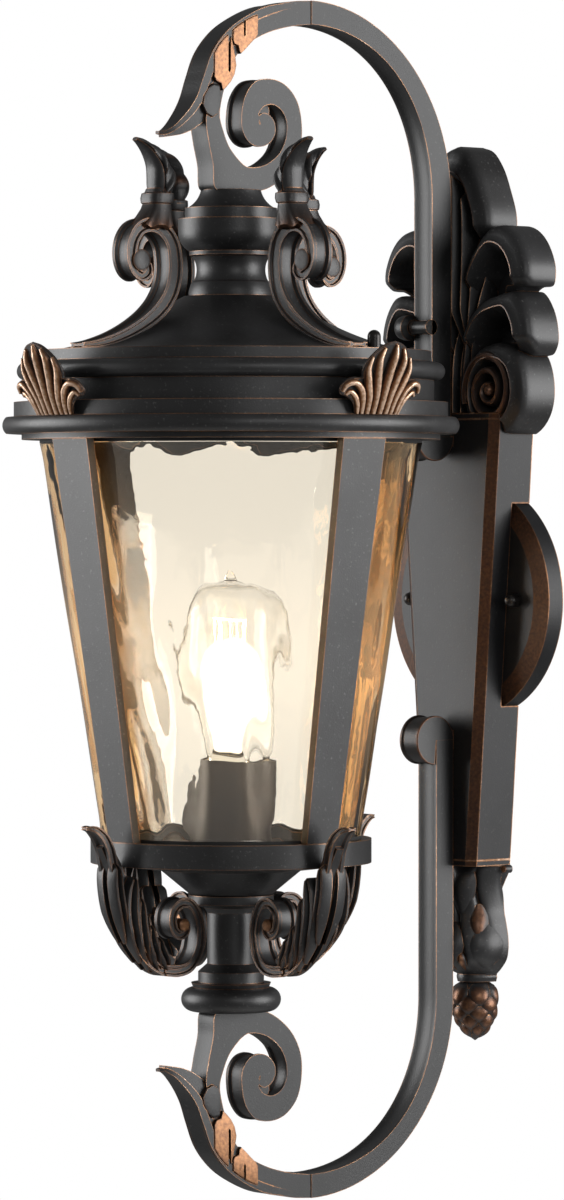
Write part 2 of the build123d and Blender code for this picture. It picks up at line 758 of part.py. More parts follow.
def make_earth_screw():
    """Earth screw with its washer, inside the spine below the terminal block."""
    earth_z = -18
    head = along_y(0, inside_face + seat_gap + 2, earth_z, 3, 3)
    return along_y(0, inside_face + seat_gap + 0.5, earth_z, 4.5, 1) + head


def screw(length):
    """Pan-head screw along +Z: the seat under its head is at z = 0 and the shank runs to -length."""
    head = Pos(0, 0, screw_head_height / 2) * Cylinder(screw_head_r, screw_head_height)
    return head + Pos(0, 0, -length / 2) * Cylinder(screw_r, length)


def make_arm_screws():
    """One screw from inside the spine into each arm's lug."""
    places = [Pos(0, inside_face + seat_gap, height) for height in (upper_lug_z, lower_lug_z)]
    return Compound(children=[place * Rot(-90, 0, 0) * screw(arm_screw_length) for place in places])


def make_spine_screws():
    """Two screws from behind the canopy's face into the spine's bosses."""
    behind = -canopy_depth + canopy_wall + seat_gap
    places = [Pos(0, behind, height) for height in (boss_z, -boss_z)]
    return Compound(children=[place * Rot(-90, 0, 0) * screw(spine_screw_length) for place in places])


def make_ornament_screws():
    """Screws from inside the spine: two sideways into the palmette and one down into the foot."""
    screws = []
    for side in (-1, 1):
        place = Pos(side * palmette_screw_seat, palmette_screw_y, palmette_screw_z) * Rot(0, -side * 90, 0)
        screws.append(place * screw(palmette_screw_length))
    screws.append(Pos(0, foot_axis_y, spine_foot_z + spine_wall + seat_gap) * screw(foot_screw_length))
    return Compound(children=screws)


# ---- radial ornament ------------------------------------------------------------------------------------
def on_roof(*points):
    """Points given as (share of the way from the roof's top edge to its flange, height over the flange)."""
    width = roof_flange_r - roof_top_r
    return [(roof_top_r + share * width, roof_flange_z + height, *rest) for share, height, *rest in points]


def roof_cutter():
    """Everything under the roof line and its flange, to seat the strap on the roof."""
    flange_top = roof_flange_z + seat_gap
    beyond = roof_flange_r + 3
    under = rim_top_z
    return make_face([
        roof_curve(seat_gap),
        Polyline(
            (roof_flat_r, flange_top), (beyond, flange_top), (beyond, under), (roof_top_r, under),
            (roof_top_r, roof_top_z + seat_gap),
        ),
    ])


def make_roof_bracket(side):
    """Hip strap that rises off the roof, rolls over into a scroll and carries a bell and a plume."""
    scroll = band(on_roof(
        (0.961, 1.1, 2.6), (0.791, 2.4, 4.2), (0.575, 7.9, 5.6), (0.379, 16.1, 7.4), (0.265, 25.5, 8.4),
        (0.224, 35.0, 8.5), (0.224, 44.5, 8.5), (0.258, 53.5, 8.0), (0.344, 59.7, 7.2), (0.454, 60.9, 6.8),
        (0.542, 56.7, 6.6), (0.579, 48.5, 6.4), (0.556, 39.9, 6.0), (0.482, 35.7, 5.2), (0.441, 39.3, 4.2),
    ))
    eye = Pos(*on_roof((0.508, 43.9))[0]) * Circle(6.0)
    bell = make_face(outline(*on_roof(
        (0.242, 60.5), (0.477, 62.1), (0.399, 72.0), (0.386, 77.5), (0.235, 77.5), (0.248, 72.0),
    )))
    leaf = band(on_roof(
        (0.312, 75.5, 11.0), (0.312, 82.5, 10.5), (0.339, 91.5, 8.0), (0.399, 99.1, 5.0), (0.482, 102.9, 1.6),
    ))
    piece = slab(radial, scroll + eye, bracket_thickness) + slab(radial, bell + leaf, plume_thickness)
    return around(piece - revolve(Plane.XZ * roof_cutter(), Axis.Z), side)


def under_base(*points):
    """Points given as (share of the way from the column to the base ring, depth under its top)."""
    width = base_r - column_r
    return [(column_r + share * width, base_top_z - depth, *rest) for share, depth, *rest in points]


def base_cutter():
    """The base, its dish and the column's collar, grown by the seat's gap."""
    top = base_top_z + 5.8
    beside = base_r + seat_gap
    band_foot = base_foot_z - seat_gap
    dish_foot = dish_foot_z - seat_gap
    collar_r = dish_foot_r + 1
    return make_face(outline(
        (0, top), (beside, top), (beside, band_foot), (base_r - base_foot_step, band_foot),
        (dish_brim_r, dish_brim_z - seat_gap), (collar_r, dish_foot), (collar_r, dish_foot - 4.9),
        (0, dish_foot - 4.9),
    ))


def make_base_bracket(side):
    """Acanthus leaf that sweeps in under the base and ends in a scroll against the column."""
    leaf = band(under_base(
        (1.389, -8.4, 1.8), (1.269, -4.6, 6.0), (1.125, 4.6, 10.0), (1.053, 16.7, 11.5), (0.967, 30.7, 13.0),
        (0.840, 44.7, 13.5), (0.686, 55.8, 12.0), (0.540, 62.2, 9.0), (0.388, 64.2, 6.0),
    ))
    tail = band(under_base(
        (0.446, 64.4, 6.0), (0.334, 63.0, 5.6), (0.240, 57.2, 5.2), (0.204, 47.2, 5.0), (0.237, 36.8, 5.0),
        (0.346, 30.6, 5.0), (0.467, 32.4, 4.8), (0.518, 39.4, 4.8), (0.467, 46.4, 4.8), (0.370, 46.4, 4.6),
        (0.360, 41.2, 4.6),
    ))
    piece = slab(radial, leaf, acanthus_thickness) + slab(radial, tail, bracket_thickness)
    return around(piece - revolve(Plane.XZ * base_cutter(), Axis.Z), side)


def make_fan(side):
    """Fluted palmette with a curl on each side, standing on the rim and leaning outwards."""
    lean = radians(fan_lean)
    foot = rim_top_z + seat_gap
    foot_r = rim_r - fan_setback
    plane = Plane(origin=(0, -foot_r, foot), x_dir=(1, 0, 0), z_dir=(0, -cos(lean), -sin(lean)))
    curl_foot = [(13.6, 0), (15.8, 7.5), (21.5, 9.5), (25.2, 10.5)]
    curl = [(25.2, 10.5), (25.0, 14.5), (20.5, 18.6), (14.8, 18.4)]
    crest_drops = [(15.0, 14), (11.6, 6.5), (5.0, 1.5), (0, 0)]
    crest = [curl[-1]] + [(x, fan_height - drop) for x, drop in crest_drops]
    right = [curl_foot, curl, crest]
    left = [mirrored(side_points) for side_points in right[::-1]]
    fan = make_face([Spline(*points) for points in right + left] + [Line((-13.6, 0), (13.6, 0))])
    blade = extrude(plane * fan, amount=fan_thickness)
    keep = Pos(0, -foot_r, foot + far / 2) * Box(far, far, far)
    return around(blade & keep, side)


# ---- lamp -----------------------------------------------------------------------------------------------
inner_sleeve_r = holder_r - holder_taper - holder_wall
insulator_r = inner_sleeve_r - clearance
insulator_top_z = holder_top_z - insulator_drop
insulator_floor_z = bulb_cap_foot_z - 4.0
nut_height = 3.0


def make_holder_sleeve():
    return turned(outline(
        (holder_r - holder_wall, holder_foot_z), (holder_r, holder_foot_z),
        (holder_r - holder_taper, holder_top_z), (inner_sleeve_r, holder_top_z),
    ))


def make_holder_body():
    """Porcelain body: a thick cup with the screw shell inside it."""
    bore = shell_r + shell_wall + fit_gap
    foot = holder_foot_z + nut_height + 0.2
    return turned(outline(
        (nipple_r + fit_gap, foot), (insulator_r, foot), (insulator_r, insulator_top_z),
        (bore, insulator_top_z), (bore, insulator_floor_z), (nipple_r + fit_gap, insulator_floor_z),
    ))


def make_holder_shell():
    return ring(shell_r, shell_r + shell_wall, insulator_floor_z + seat_gap, insulator_top_z - 1)


def make_holder_contact():
    """Sprung brass tongue in the floor of the holder, just under the lamp's tip."""
    top = bulb_cap_foot_z - clearance
    foot = insulator_floor_z + seat_gap
    sheet = 0.6
    tongue = Pos(3.5, 0, foot + sheet / 2) * Box(11, 5, sheet)
    return axis_place * (tongue + Pos(0, 0, (foot + top) / 2) * Box(4, 5, top - foot))


def make_nipple():
    return ring(nipple_bore_r, nipple_r, washer_foot_z - nipple_end, holder_foot_z + nipple_rise)


def hex_nut(radius, hole_r, low, high):
    """Hexagon nut about the lantern's axis."""
    nut = axis_place * Pos(0, 0, low) * extrude(RegularPolygon(radius, 6), amount=high - low)
    return nut - rod(hole_r, low - 1, high + 1)


def bulb_outline(inset):
    """The lamp's pear shape, from its mouth up to its crown."""
    low = bulb_cap_top_z
    return Spline(
        (bulb_mouth_r - inset, low + seat_gap), (15.2 - inset, low + 6), (20.8 - inset, low + 26),
        (25.2 - inset, low + 45), (bulb_r - inset, low + 64), (25.0 - inset, low + 79),
        (18.5 - inset, low + bulb_height - 3.1 - inset), (6, low + bulb_height - inset),
        tangents=[(0.05, 1), (-1, 0.1)],
    )


def make_bulb_glass():
    crown = bulb_cap_top_z + bulb_height
    pip = crown + bulb_pip_height
    under = crown - bulb_glass_wall
    mouth = bulb_cap_top_z + seat_gap
    return turned([
        bulb_outline(0),
        Polyline((6, crown), (3, crown + 0.6), (1.0, pip), (0, pip), (0, under), (6, under)),
        bulb_outline(bulb_glass_wall),
        Line((bulb_mouth_r - bulb_glass_wall, mouth), (bulb_mouth_r, mouth)),
    ])


tip_top_z = bulb_cap_foot_z + bulb_tip_height - seat_gap


def make_bulb_cap():
    return ring(bulb_cap_r - bulb_cap_wall, bulb_cap_r, bulb_cap_foot_z + bulb_tip_height, bulb_cap_top_z)


def make_bulb_insulator():
    low = tip_top_z - bulb_tip_glass
    return turned(outline((0, low), (bulb_tip_r + 0.4, low), (bulb_cap_r - 1, tip_top_z), (0, tip_top_z)))


def make_bulb_contact():
    return rod(bulb_tip_r, bulb_cap_foot_z, tip_top_z - bulb_tip_glass - seat_gap)


def make_bulb_stem():
    """Glass stem inside the lamp, with the hooks' glass rod on top."""
    foot = bulb_cap_top_z + seat_gap
    top = bulb_cap_top_z + filament_high + 2
    return turned(outline(
        (0, foot), (bulb_mouth_r - bulb_glass_wall - 0.2, foot), (6.0, foot + 8), (3.2, foot + 24),
        (stem_rod_r, bulb_cap_top_z + filament_low - 4), (stem_rod_r, top), (0, top),
    ))


def make_filament():
    """Squirrel-cage filament: upright strands joined in a ring at the top and bottom."""
    low = bulb_cap_top_z + filament_low
    high = bulb_cap_top_z + filament_high
    inner = stem_rod_r + fit_gap
    half = filament_ring_half
    cage = Part()
    for height in (low, high):
        cage += ring(filament_r - half, filament_r + half, height - half, height + half)
        spoke = Rot(0, 90, 0) * Cylinder(filament_wire_r, filament_r - inner)
        for i in range(5):
            cage += axis_place * Rot(0, 0, 72 * i) * Pos((filament_r + inner) / 2, 0, height) * spoke
    strand = Pos(filament_r, 0, (low + high) / 2) * Cylinder(filament_wire_r, high - low)
    for i in range(10):
        cage += axis_place * Rot(0, 0, 36 * i + 18) * strand
    return cage


# ---- roof fasteners -------------------------------------------------------------------------------------
def at_roof_nuts(shape):
    """Copies of a shape on the roof's flange, one on each side of the lantern."""
    return [turned_to(Pos(0, -roof_nut_at, 0) * shape, angle) for angle in (roof_nut_angle, -roof_nut_angle)]


def upright(radius, low, high):
    return Pos(0, 0, (low + high) / 2) * Cylinder(radius, high - low)


stud_low_z = rim_top_z - 6.0
stud_high_z = roof_flange_z + 6.0


def make_roof_nuts():
    """Domed cap nuts on the roof's flange."""
    nut = cap_nut(roof_nut_r, roof_nut_height, roof_stud_r + fit_gap, roof_nut_bore)
    return Compound(children=at_roof_nuts(Pos(0, 0, roof_flange_z + seat_gap) * nut))


def drilled(shape):
    """A roof or rim casting with the holes for the roof's two studs."""
    for hole in at_roof_nuts(upright(roof_stud_r + fit_gap, stud_low_z - 13, roof_flange_z + 15)):
        shape -= hole
    return shape


# ---- write every node -------------------------------------------------------------------------------------
under_roof_z = roof_top_z - roof_wall
nut_top_z = under_roof_z - seat_gap

export("roof_cap", make_cap())
export("roof_neck", make_neck())
export("roof_shell", drilled(make_roof()))
export("roof_cornice", drilled(make_cornice()))
export("roof_studs", Compound(children=at_roof_nuts(upright(roof_stud_r, stud_low_z, stud_high_z))))
export("roof_nuts", make_roof_nuts())
export("roof_tie_rod", rod(tie_rod_r, under_roof_z - tie_rod_drop, cap_top_z + tie_rod_rise))
export("roof_tie_nut", hex_nut(tie_nut_r, rod_bore, nut_top_z - tie_nut_height, nut_top_z))
export("cage_rim", drilled(make_rim()))
for side in quarter:
    export(f"cage_post_{side}", make_post(side))
    export(f"roof_bracket_{side}", make_roof_bracket(side))
    export(f"base_bracket_{side}", make_base_bracket(side))
for side in ("front", "right", "left"):
    export(f"rim_palmette_{side}", make_fan(side))
export("glass_shade", make_glass())
export("glass_seal_top", make_seal(glass_top_r, glass_top_z, lip_foot_z))
export("glass_seal_foot", make_seal(glass_foot_r, base_top_z, glass_foot_z))
export("base_dish", make_base())
export("base_column", make_column())
export("base_washer", make_washer())
export("base_nipple", make_nipple())
export("nipple_nut", hex_nut(nipple_nut_r, nipple_r + fit_gap, holder_foot_z, holder_foot_z + nut_height))
export("upper_arm", make_arm(upper_lug_z))
export("lower_arm", make_lower_arm())
export("arm_screws", make_arm_screws())
export("spine", make_spine())
export("spine_top_plate", make_end_plate(spine_top_z - spine_wall, spine_top_z))
export("spine_foot_plate", make_foot_plate())
export("spine_foot_leaf", make_foot_leaf())
export("pinecone_finial", make_pinecone())
export("wall_palmette", make_wall_palmette())
export("canopy", make_canopy())
export("wall_bracket", make_wall_bracket())
export("canopy_studs", make_canopy_studs())
export("canopy_nuts", make_canopy_nuts())
export("spine_screws", make_spine_screws())
export("ornament_screws", make_ornament_screws())
export("terminal_block", make_terminal_block())
export("earth_screw", make_earth_screw())
export("lampholder_sleeve", make_holder_sleeve())
export("lampholder_body", make_holder_body())
export("lampholder_shell", make_holder_shell())
export("lampholder_contact", make_holder_contact())
export("bulb_glass", make_bulb_glass())
export("bulb_cap", make_bulb_cap())
export("bulb_insulator", make_bulb_insulator())
export("bulb_contact", make_bulb_contact())
export("bulb_stem", make_bulb_stem())
export("bulb_filament", make_filament())
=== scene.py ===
import json
from functools import partial
from math import cos, radians, sin

import bmesh
import bpy
import numpy as np
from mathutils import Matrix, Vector


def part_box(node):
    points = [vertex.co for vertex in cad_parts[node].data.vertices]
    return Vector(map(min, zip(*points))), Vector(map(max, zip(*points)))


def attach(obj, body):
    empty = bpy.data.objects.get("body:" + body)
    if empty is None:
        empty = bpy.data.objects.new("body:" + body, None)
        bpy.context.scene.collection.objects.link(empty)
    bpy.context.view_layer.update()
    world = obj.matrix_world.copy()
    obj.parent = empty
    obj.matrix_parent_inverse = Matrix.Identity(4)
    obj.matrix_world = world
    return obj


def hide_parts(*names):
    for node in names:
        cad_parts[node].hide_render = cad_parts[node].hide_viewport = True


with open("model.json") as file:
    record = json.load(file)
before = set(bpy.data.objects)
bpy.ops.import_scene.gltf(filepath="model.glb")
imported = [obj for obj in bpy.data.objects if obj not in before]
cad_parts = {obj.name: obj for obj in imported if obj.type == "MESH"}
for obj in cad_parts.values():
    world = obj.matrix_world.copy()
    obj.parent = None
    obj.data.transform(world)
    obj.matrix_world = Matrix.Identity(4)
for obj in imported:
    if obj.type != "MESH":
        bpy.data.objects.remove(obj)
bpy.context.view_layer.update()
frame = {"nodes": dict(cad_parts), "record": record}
print("frame loaded")


# Lowest and highest corner of a CAD node, in millimetres
def span(node):
    low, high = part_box(node)
    return np.array(low) * 1000, np.array(high) * 1000


def outerRadius(node):
    low, high = span(node)
    return (high[0] - low[0]) / 2


glassLow, glassHigh = span("glass_shade")
reach = -(glassLow[1] + glassHigh[1]) / 2      # wall to the lantern's axis
quarters = {"front": 0, "right": 90, "back": 180, "left": 270}


# sRGB hex to linear
def colour(code):
    parts = [int(code[i:i + 2], 16) / 255 for i in (1, 3, 5)]
    return [c / 12.92 if c <= 0.04045 else ((c + 0.055) / 1.055) ** 2.4 for c in parts] + [1.0]


# A new empty material, and the function that adds a node to it
def newMaterial(name):
    material = bpy.data.materials.new(name)
    material.use_nodes = True
    material.node_tree.nodes.clear()
    return material, partial(addNode, material)


# Adds a node with its settings; an input is a value, another node's output, or a node for its first output
def addNode(owner, kind, inputs=None, **settings):
    node = owner.node_tree.nodes.new("ShaderNode" + kind)
    for key, value in settings.items():
        setattr(node, key, value)
    for key, value in (inputs or {}).items():
        if isinstance(value, bpy.types.Node):
            value = value.outputs[0]
        if isinstance(value, bpy.types.NodeSocket):
            owner.node_tree.links.new(value, node.inputs[key])
        else:
            node.inputs[key].default_value = value
    return node


# Inputs that carry a value from one range to another
def between(value, start, end, low=0.0, high=1.0):
    return {"Value": value, "From Min": start, "From Max": end, "To Min": low, "To Max": high}


def newObject(name, data):
    thing = bpy.data.objects.new(name, data)
    bpy.context.scene.collection.objects.link(thing)
    return thing


def setStops(ramp, stops):
    elements = ramp.color_ramp.elements
    while len(elements) < len(stops):
        elements.new(0.5)
    for element, (place, code) in zip(elements, stops):
        element.position = place
        element.color = colour(code)
    return ramp.outputs["Color"]


# Points from their coordinates, each a grid, a row, a column or a number
def gridOf(*axes):
    return np.stack(np.broadcast_arrays(*axes), axis=-1)


def fullTurn(count):
    return np.linspace(0, 2 * np.pi, count, endpoint=False)


# A smooth line through points: cubic pieces whose slopes come from each point's neighbours, in even steps.
# Columns after the second, such as a width, are carried along.
def smoothLine(points, count):
    points = np.array(points, float)
    steps = np.hypot(*np.diff(points[:, :2], axis=0).T)
    at = np.concatenate([[0], np.cumsum(np.maximum(steps, 1e-6))])
    slopes = np.gradient(points, at, axis=0)
    fine = np.linspace(0, at[-1], count)
    k = np.clip(np.searchsorted(at, fine, side="right") - 1, 0, len(at) - 2)
    gap = (at[k + 1] - at[k])[:, None]
    t = (fine - at[k])[:, None] / gap
    return ((2 * t**3 - 3 * t**2 + 1) * points[k] + (t**3 - 2 * t**2 + t) * gap * slopes[k]
            + (3 * t**2 - 2 * t**3) * points[k + 1] + (t**3 - t**2) * gap * slopes[k + 1])


# Unit normals of a flat line, to the left of its run
def leftOf(line):
    run = np.gradient(line[:, :2], axis=0)
    run /= np.maximum(np.hypot(run[:, 0], run[:, 1]), 1e-9)[:, None]
    return np.stack([-run[:, 1], run[:, 0]], axis=1)


# Two edges of a strip from its centre line (x, y, thickness, half width): half the thickness to each side
def railsOf(centre, count):
    line = smoothLine(centre, count)
    out = leftOf(line) * line[:, 2:3] / 2
    return np.hstack([line[:, :2] + out, line[:, :2] - out, line[:, 3:4]])


# A strip between two edges in one plane. Each row is (outer x, y, inner x, y, half width). The section's
# points are (share of the way from outer to inner, push that way, side, inset from that side, rub),
# carried along the rows. Depth scales the pushes along the strip, and fade its rub.
def ribbon(rails, section, fade=None, depth=None):
    section = np.array(section, float)
    outer, inner, half = rails[:, None, :2], rails[:, None, 2:4], rails[:, None, 4]
    across = inner - outer
    thick = np.maximum(np.linalg.norm(across, axis=2), 1e-6)
    push = section[None, :, 1] * np.minimum(1, thick / 7)
    if depth is not None:
        push = push * depth[:, None]
    flat = outer + across * section[None, :, 0:1] + across / thick[..., None] * push[..., None]
    inset = section[None, :, 3] * np.minimum(1, half / 5)
    level = section[None, :, 2] * (half - inset)
    rub = section[:, 4] if fade is None else section[:, 4] * fade[:, None]
    return gridOf(flat[..., 0], flat[..., 1], level), rub, True, True


# A raised blade on a flat line of (x, y, width): its section's points are (-1 to 1 across, height, rub)
def blade(path, count, section, low, high, side=1):
    section = np.array(section, float)
    line = smoothLine(path, count)
    out = leftOf(line)[:, None, :] * (line[:, 2] / 2)[:, None, None]
    flat = line[:, None, :2] + out * section[None, :, 0:1]
    slim = np.minimum(1, line[:, 2] / 4)[:, None]
    level = side * (low + (high - low) * slim * section[None, :, 1])
    return gridOf(flat[..., 0], flat[..., 1], level), section[:, 2], True, True


# A round button across a strip: its radius follows a short list of (share of radius, level, rub)
def button(x, y, radius, levels, count=40):
    turn = fullTurn(count)
    levels = np.array(levels, float)
    size = radius * levels[:, None, 0]
    points = gridOf(x + size * np.cos(turn), y + size * np.sin(turn), levels[:, None, 1])
    return points, levels[:, None, 2], True, True


# A raised plate from its outline: each row of levels is (share of the outline's size, height, rub)
def raised(outline, levels, side=1):
    loop = np.array(outline, float)
    levels = np.array(levels, float)
    flat = loop.mean(axis=0) + (loop - loop.mean(axis=0))[None] * levels[:, None, 0:1]
    return gridOf(flat[..., 0], flat[..., 1], side * levels[:, None, 1]), levels[:, None, 2], True, True


# Places drawn points (out from the axis, up, across) at an angle round the lantern's axis
def onAxis(points, angle):
    turn = radians(angle)
    out, up, across = np.moveaxis(points, -1, 0)
    return gridOf(out * sin(turn) + across * cos(turn), -reach - out * cos(turn) + across * sin(turn), up)


# Rings about the lantern's axis
def turned(radius, height, turn):
    return gridOf(radius * np.sin(turn), -reach - radius * np.cos(turn), height)


# Places drawn points (to the right, up, away from the wall)
def onWall(points):
    return gridOf(points[..., 0], -points[..., 2], points[..., 1])


# Keeps a value from 0 to 1 at each point of a mesh, for its finish to read
def setShare(mesh, name, values):
    mesh.attributes.new(name, "FLOAT", "POINT").data.foreach_set("value", values.astype(np.float32))


# Joins grids of points, in millimetres, into one piece. Neighbouring points make four-sided faces. A
# wrapped grid closes on itself, and a capped one gets a face over its first and last row. Rub is kept for
# the finish.
def makePiece(name, patches, finish, nodes=(), place=None, body="fixture", sharp=38):
    points, faces, rubs, start = [], [], [], 0
    for grid, rub, wrap, caps in patches:
        rows, columns = grid.shape[:2]
        index = np.arange(rows * columns).reshape(rows, columns) + start
        if caps:
            faces += [index[0][::-1].tolist(), index[-1].tolist()]
        if wrap:
            index = np.hstack([index, index[:, :1]])
        quads = np.stack([index[:-1, :-1], index[:-1, 1:], index[1:, 1:], index[1:, :-1]], axis=-1)
        faces += quads.reshape(-1, 4).tolist()
        points.append((place(grid) if place else grid).reshape(-1, 3) / 1000)
        rubs.append(np.broadcast_to(rub, (rows, columns)).reshape(-1))
        start += rows * columns
    mesh = bpy.data.meshes.new(name)
    mesh.from_pydata(np.concatenate(points).tolist(), [], faces)
    setShare(mesh, "rub", np.concatenate(rubs))
    work = bmesh.new()
    work.from_mesh(mesh)
    bmesh.ops.remove_doubles(work, verts=work.verts, dist=2e-6)
    bmesh.ops.dissolve_degenerate(work, dist=1e-6, edges=work.edges)
    bmesh.ops.recalc_face_normals(work, faces=work.faces)
    work.to_mesh(mesh)
    work.free()
    mesh.set_sharp_from_angle(angle=radians(sharp))
    mesh.materials.append(finish)
    piece = newObject(name, mesh)
    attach(piece, body)
    if nodes:
        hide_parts(*nodes)
    return piece


bronze = {
    "coat": "#1a1919",          # powder coat in the hollows
    "coatWorn": "#2c2c2d",      # where the coat was wiped back
    "speck": "#6b6a69",
    "rubbed": ("#2c211b", "#654634", "#a5764f", "#dfbea4"),   # brown bronze, copper, bright copper, peach
    "mottleSize": 30.0,         # mm between cloudy patches
    "grainSize": 0.8,           # mm, drawn coarser than real powder so that it shows
    "speckSize": 0.6,
    "roughness": 0.42,
    "gloss": 0.5,
    "edgeRadius": 0.8,          # mm, how far the rubbing reaches from an edge
    # where each effect begins, where it is full, and its least and most
    "speckRange": (0.62, 0.78, 0.0, 0.6),       # of the fine noise
    "edgeRange": (0.985, 0.84, 0.0, 0.72),      # of the cosine between the flat and the rounded face
    "unevenRange": (0.3, 0.7, 0.55, 1.2),       # of the cloudy noise
    "patchRange": (0.3, 0.7, 0.8, 1.15),
    "steepRange": (0.3, 0.5),                   # of how squarely a cove faces the wall
    "levelRange": (0.996, 0.98, 0.0, 0.29),
    "rubbedAt": (0.15, 0.42, 0.72, 0.98),
    "metalRange": (0.06, 0.34),
    "metalShine": 0.6, "metalSmoother": 0.06,
}


# Cast aluminium under a dark antique powder coat, hand rubbed so that copper shows on its edges:
# a satin, finely grained near-black with thin warm lines. With coves, sloped faces are brown as well.
def castBronze(name, look, coves=False):
    material, add = newMaterial(name)
    place = add("TexCoord").outputs["Object"]
    cloud = add("TexNoise", {"Vector": place, "Scale": 1000 / look["mottleSize"], "Detail": 3.0})
    grain = add("TexNoise", {"Vector": place, "Scale": 1000 / look["grainSize"], "Detail": 2.0})
    dots = add("TexNoise", {"Vector": place, "Scale": 1000 / (2.5 * look["speckSize"]), "Detail": 4.0})
    coat = setStops(add("ValToRGB", {"Fac": cloud}), [(0.3, look["coat"]), (0.75, look["coatWorn"])])
    specks = add("MapRange", between(dots, *look["speckRange"]))
    base = add("Mix", {"Factor": specks, "A": coat, "B": colour(look["speck"])}, data_type="RGBA").outputs[2]
    flat = add("NewGeometry").outputs["Normal"]
    rounded = add("Bevel", {"Radius": look["edgeRadius"] / 1000}, samples=4)
    even = add("VectorMath", {0: rounded, 1: flat}, operation="DOT_PRODUCT").outputs["Value"]
    edge = add("MapRange", between(even, *look["edgeRange"]))
    uneven = add("MapRange", between(cloud, *look["unevenRange"]))
    worn = add("Math", {0: edge, 1: uneven}, operation="MULTIPLY")
    if coves:
        facing = add("SeparateXYZ", {"Vector": flat}).outputs["Y"]
        slope = add("Math", {0: facing}, operation="ABSOLUTE")
        steep = add("MapRange", between(slope, *look["steepRange"]))
        level = add("MapRange", between(slope, *look["levelRange"]))
        cove = add("Math", {0: steep, 1: level}, operation="MULTIPLY")
        worn = add("Math", {0: worn, 1: cove}, operation="MAXIMUM")
    painted = add("Attribute", attribute_name="rub").outputs["Fac"]
    patchy = add("MapRange", between(dots, *look["patchRange"]))
    most = add("Math", {0: worn, 1: painted}, operation="MAXIMUM")
    rub = add("Math", {0: most, 1: patchy}, operation="MULTIPLY", use_clamp=True)
    metal = setStops(add("ValToRGB", {"Fac": rub}), list(zip(look["rubbedAt"], look["rubbed"])))
    shown = add("MapRange", between(rub, *look["metalRange"]))
    body = add("Mix", {"Factor": shown, "A": base, "B": metal}, data_type="RGBA").outputs[2]
    rough = look["roughness"]
    dull = add("MapRange", between(shown, 0.0, 1.0, rough, rough - look["metalSmoother"]))
    shine = add("Math", {0: shown, 1: look["metalShine"]}, operation="MULTIPLY")
    bump = add("Bump", {"Height": grain, "Strength": 0.2, "Distance": look["grainSize"] / 2500})
    shader = add("BsdfPrincipled", {"Base Color": body, "Metallic": shine, "Roughness": dull,
                                    "Specular IOR Level": look["gloss"], "Normal": bump})
    add("OutputMaterial", {"Surface": shader})
    return material


# Darker copies of the coat, with less gloss, for the arms and the spine: painted shade, a darker coat colour
# standing in for the shade that falls on them
shadedBronzeArms = dict(bronze, coat="#131313", coatWorn="#1f1f20", gloss=0.38, speck="#4a4a49")
shadedBronzeSpine = dict(bronze, coat="#161617", coatWorn="#212123", gloss=0.25, speck="#3c3c3b", edgeRadius=1.3)
cast = castBronze("antiqueBronzePowderCoat", bronze)
shadedCastArms = castBronze("antiqueBronzePowderCoatArmsShaded", shadedBronzeArms)
shadedCastCoved = castBronze("antiqueBronzePowderCoatCovedShaded", shadedBronzeSpine, coves=True)


# A plain finish with fine noise in its colour and roughness
def plainFinish(name, dark, light, grain, roughness, bump, metallic):
    material, add = newMaterial(name)
    place = add("TexCoord").outputs["Object"]
    noise = add("TexNoise", {"Vector": place, "Scale": 1000 / grain, "Detail": 3.0})
    tone = setStops(add("ValToRGB", {"Fac": noise}), [(0.3, dark), (0.7, light)])
    dull = add("MapRange", between(noise, 0.3, 0.7, roughness - 0.05, roughness + 0.06))
    rise = add("Bump", {"Height": noise, "Strength": bump, "Distance": grain / 3000})
    shader = add("BsdfPrincipled", {"Base Color": tone, "Metallic": metallic, "Roughness": dull,
                                    "Normal": rise})
    add("OutputMaterial", {"Surface": shader})
    return material


# slot: name, dark and light tone, grain in mm, roughness, bump, metallic
plainLooks = {
    # zinc plating, cool and faintly clouded
    "zinc_plated_steel": ("zincPlatedSteel", "#8f9194", "#b3b4b3", 2.5, 0.34, 0.05, 1.0),
    # blackened brass cap nuts, polished darker than the casting
    "bronze_nut": ("blackenedNut", "#1a1817", "#2b2624", 1.5, 0.3, 0.1, 0.5),
    # black rubber, matt and slightly dusty
    "seal_rubber": ("mouldedRubber", "#141414", "#1f1f1e", 1.2, 0.75, 0.2, 0.0),
    "brass": ("turnedBrass", "#a9803c", "#c39a55", 1.0, 0.3, 0.05, 1.0),
    # porcelain, warm white and glossy
    "porcelain": ("glazedPorcelain", "#dedbd2", "#ebe8e0", 6.0, 0.12, 0.02, 0.0),
    # nickel plated brass, warmer and smoother than zinc
    "nickel_shell": ("nickelPlate", "#9c968b", "#b8b2a6", 3.0, 0.26, 0.03, 1.0),
    "bulb_cap": ("nickelLampCap", "#9c968b", "#bdb7ab", 2.0, 0.26, 0.04, 1.0),
    # black glass bead under the lamp's cap
    "bulb_insulator": ("blackLampGlass", "#0d0d10", "#17171b", 4.0, 0.1, 0.02, 0.0),
    # dark brown lacquer on a steel sleeve, satin
    "holder_cover": ("brownLacqueredSteel", "#120a06", "#1e120c", 12.0, 0.42, 0.005, 0.35),
    # off-white polyamide
    "terminal_plastic": ("mouldedPolyamide", "#cfccc4", "#dcd9d2", 1.0, 0.5, 0.15, 0.0),
}
finishes = {key: plainFinish(*look) for key, look in plainLooks.items()}
finishes["bronze_casting"] = cast


glassLook = {
    "clear": "#f9f4ea",         # four passes make champagne
    "amber": "#dfa662",
    "shade": "#f3e9d6",         # of the light that passes it
    "paintedLampGlow": "#ffe3bd", "paintedLampGlowStrength": 0.09,   # painted glow: emission in the glass beside the lamp, standing in for the lamp's light caught in it
    "ior": 1.5,
    "wall": 3.4,                # mm
    "around": 264, "rows": 96,  # faces round and up
    "waveOut": 1.1, "waveIn": 0.6,   # mm, depth of the waves on each face
    "litHeight": -26, "litSpread": 46,      # mm, the lamp's height and how far its light reaches
}


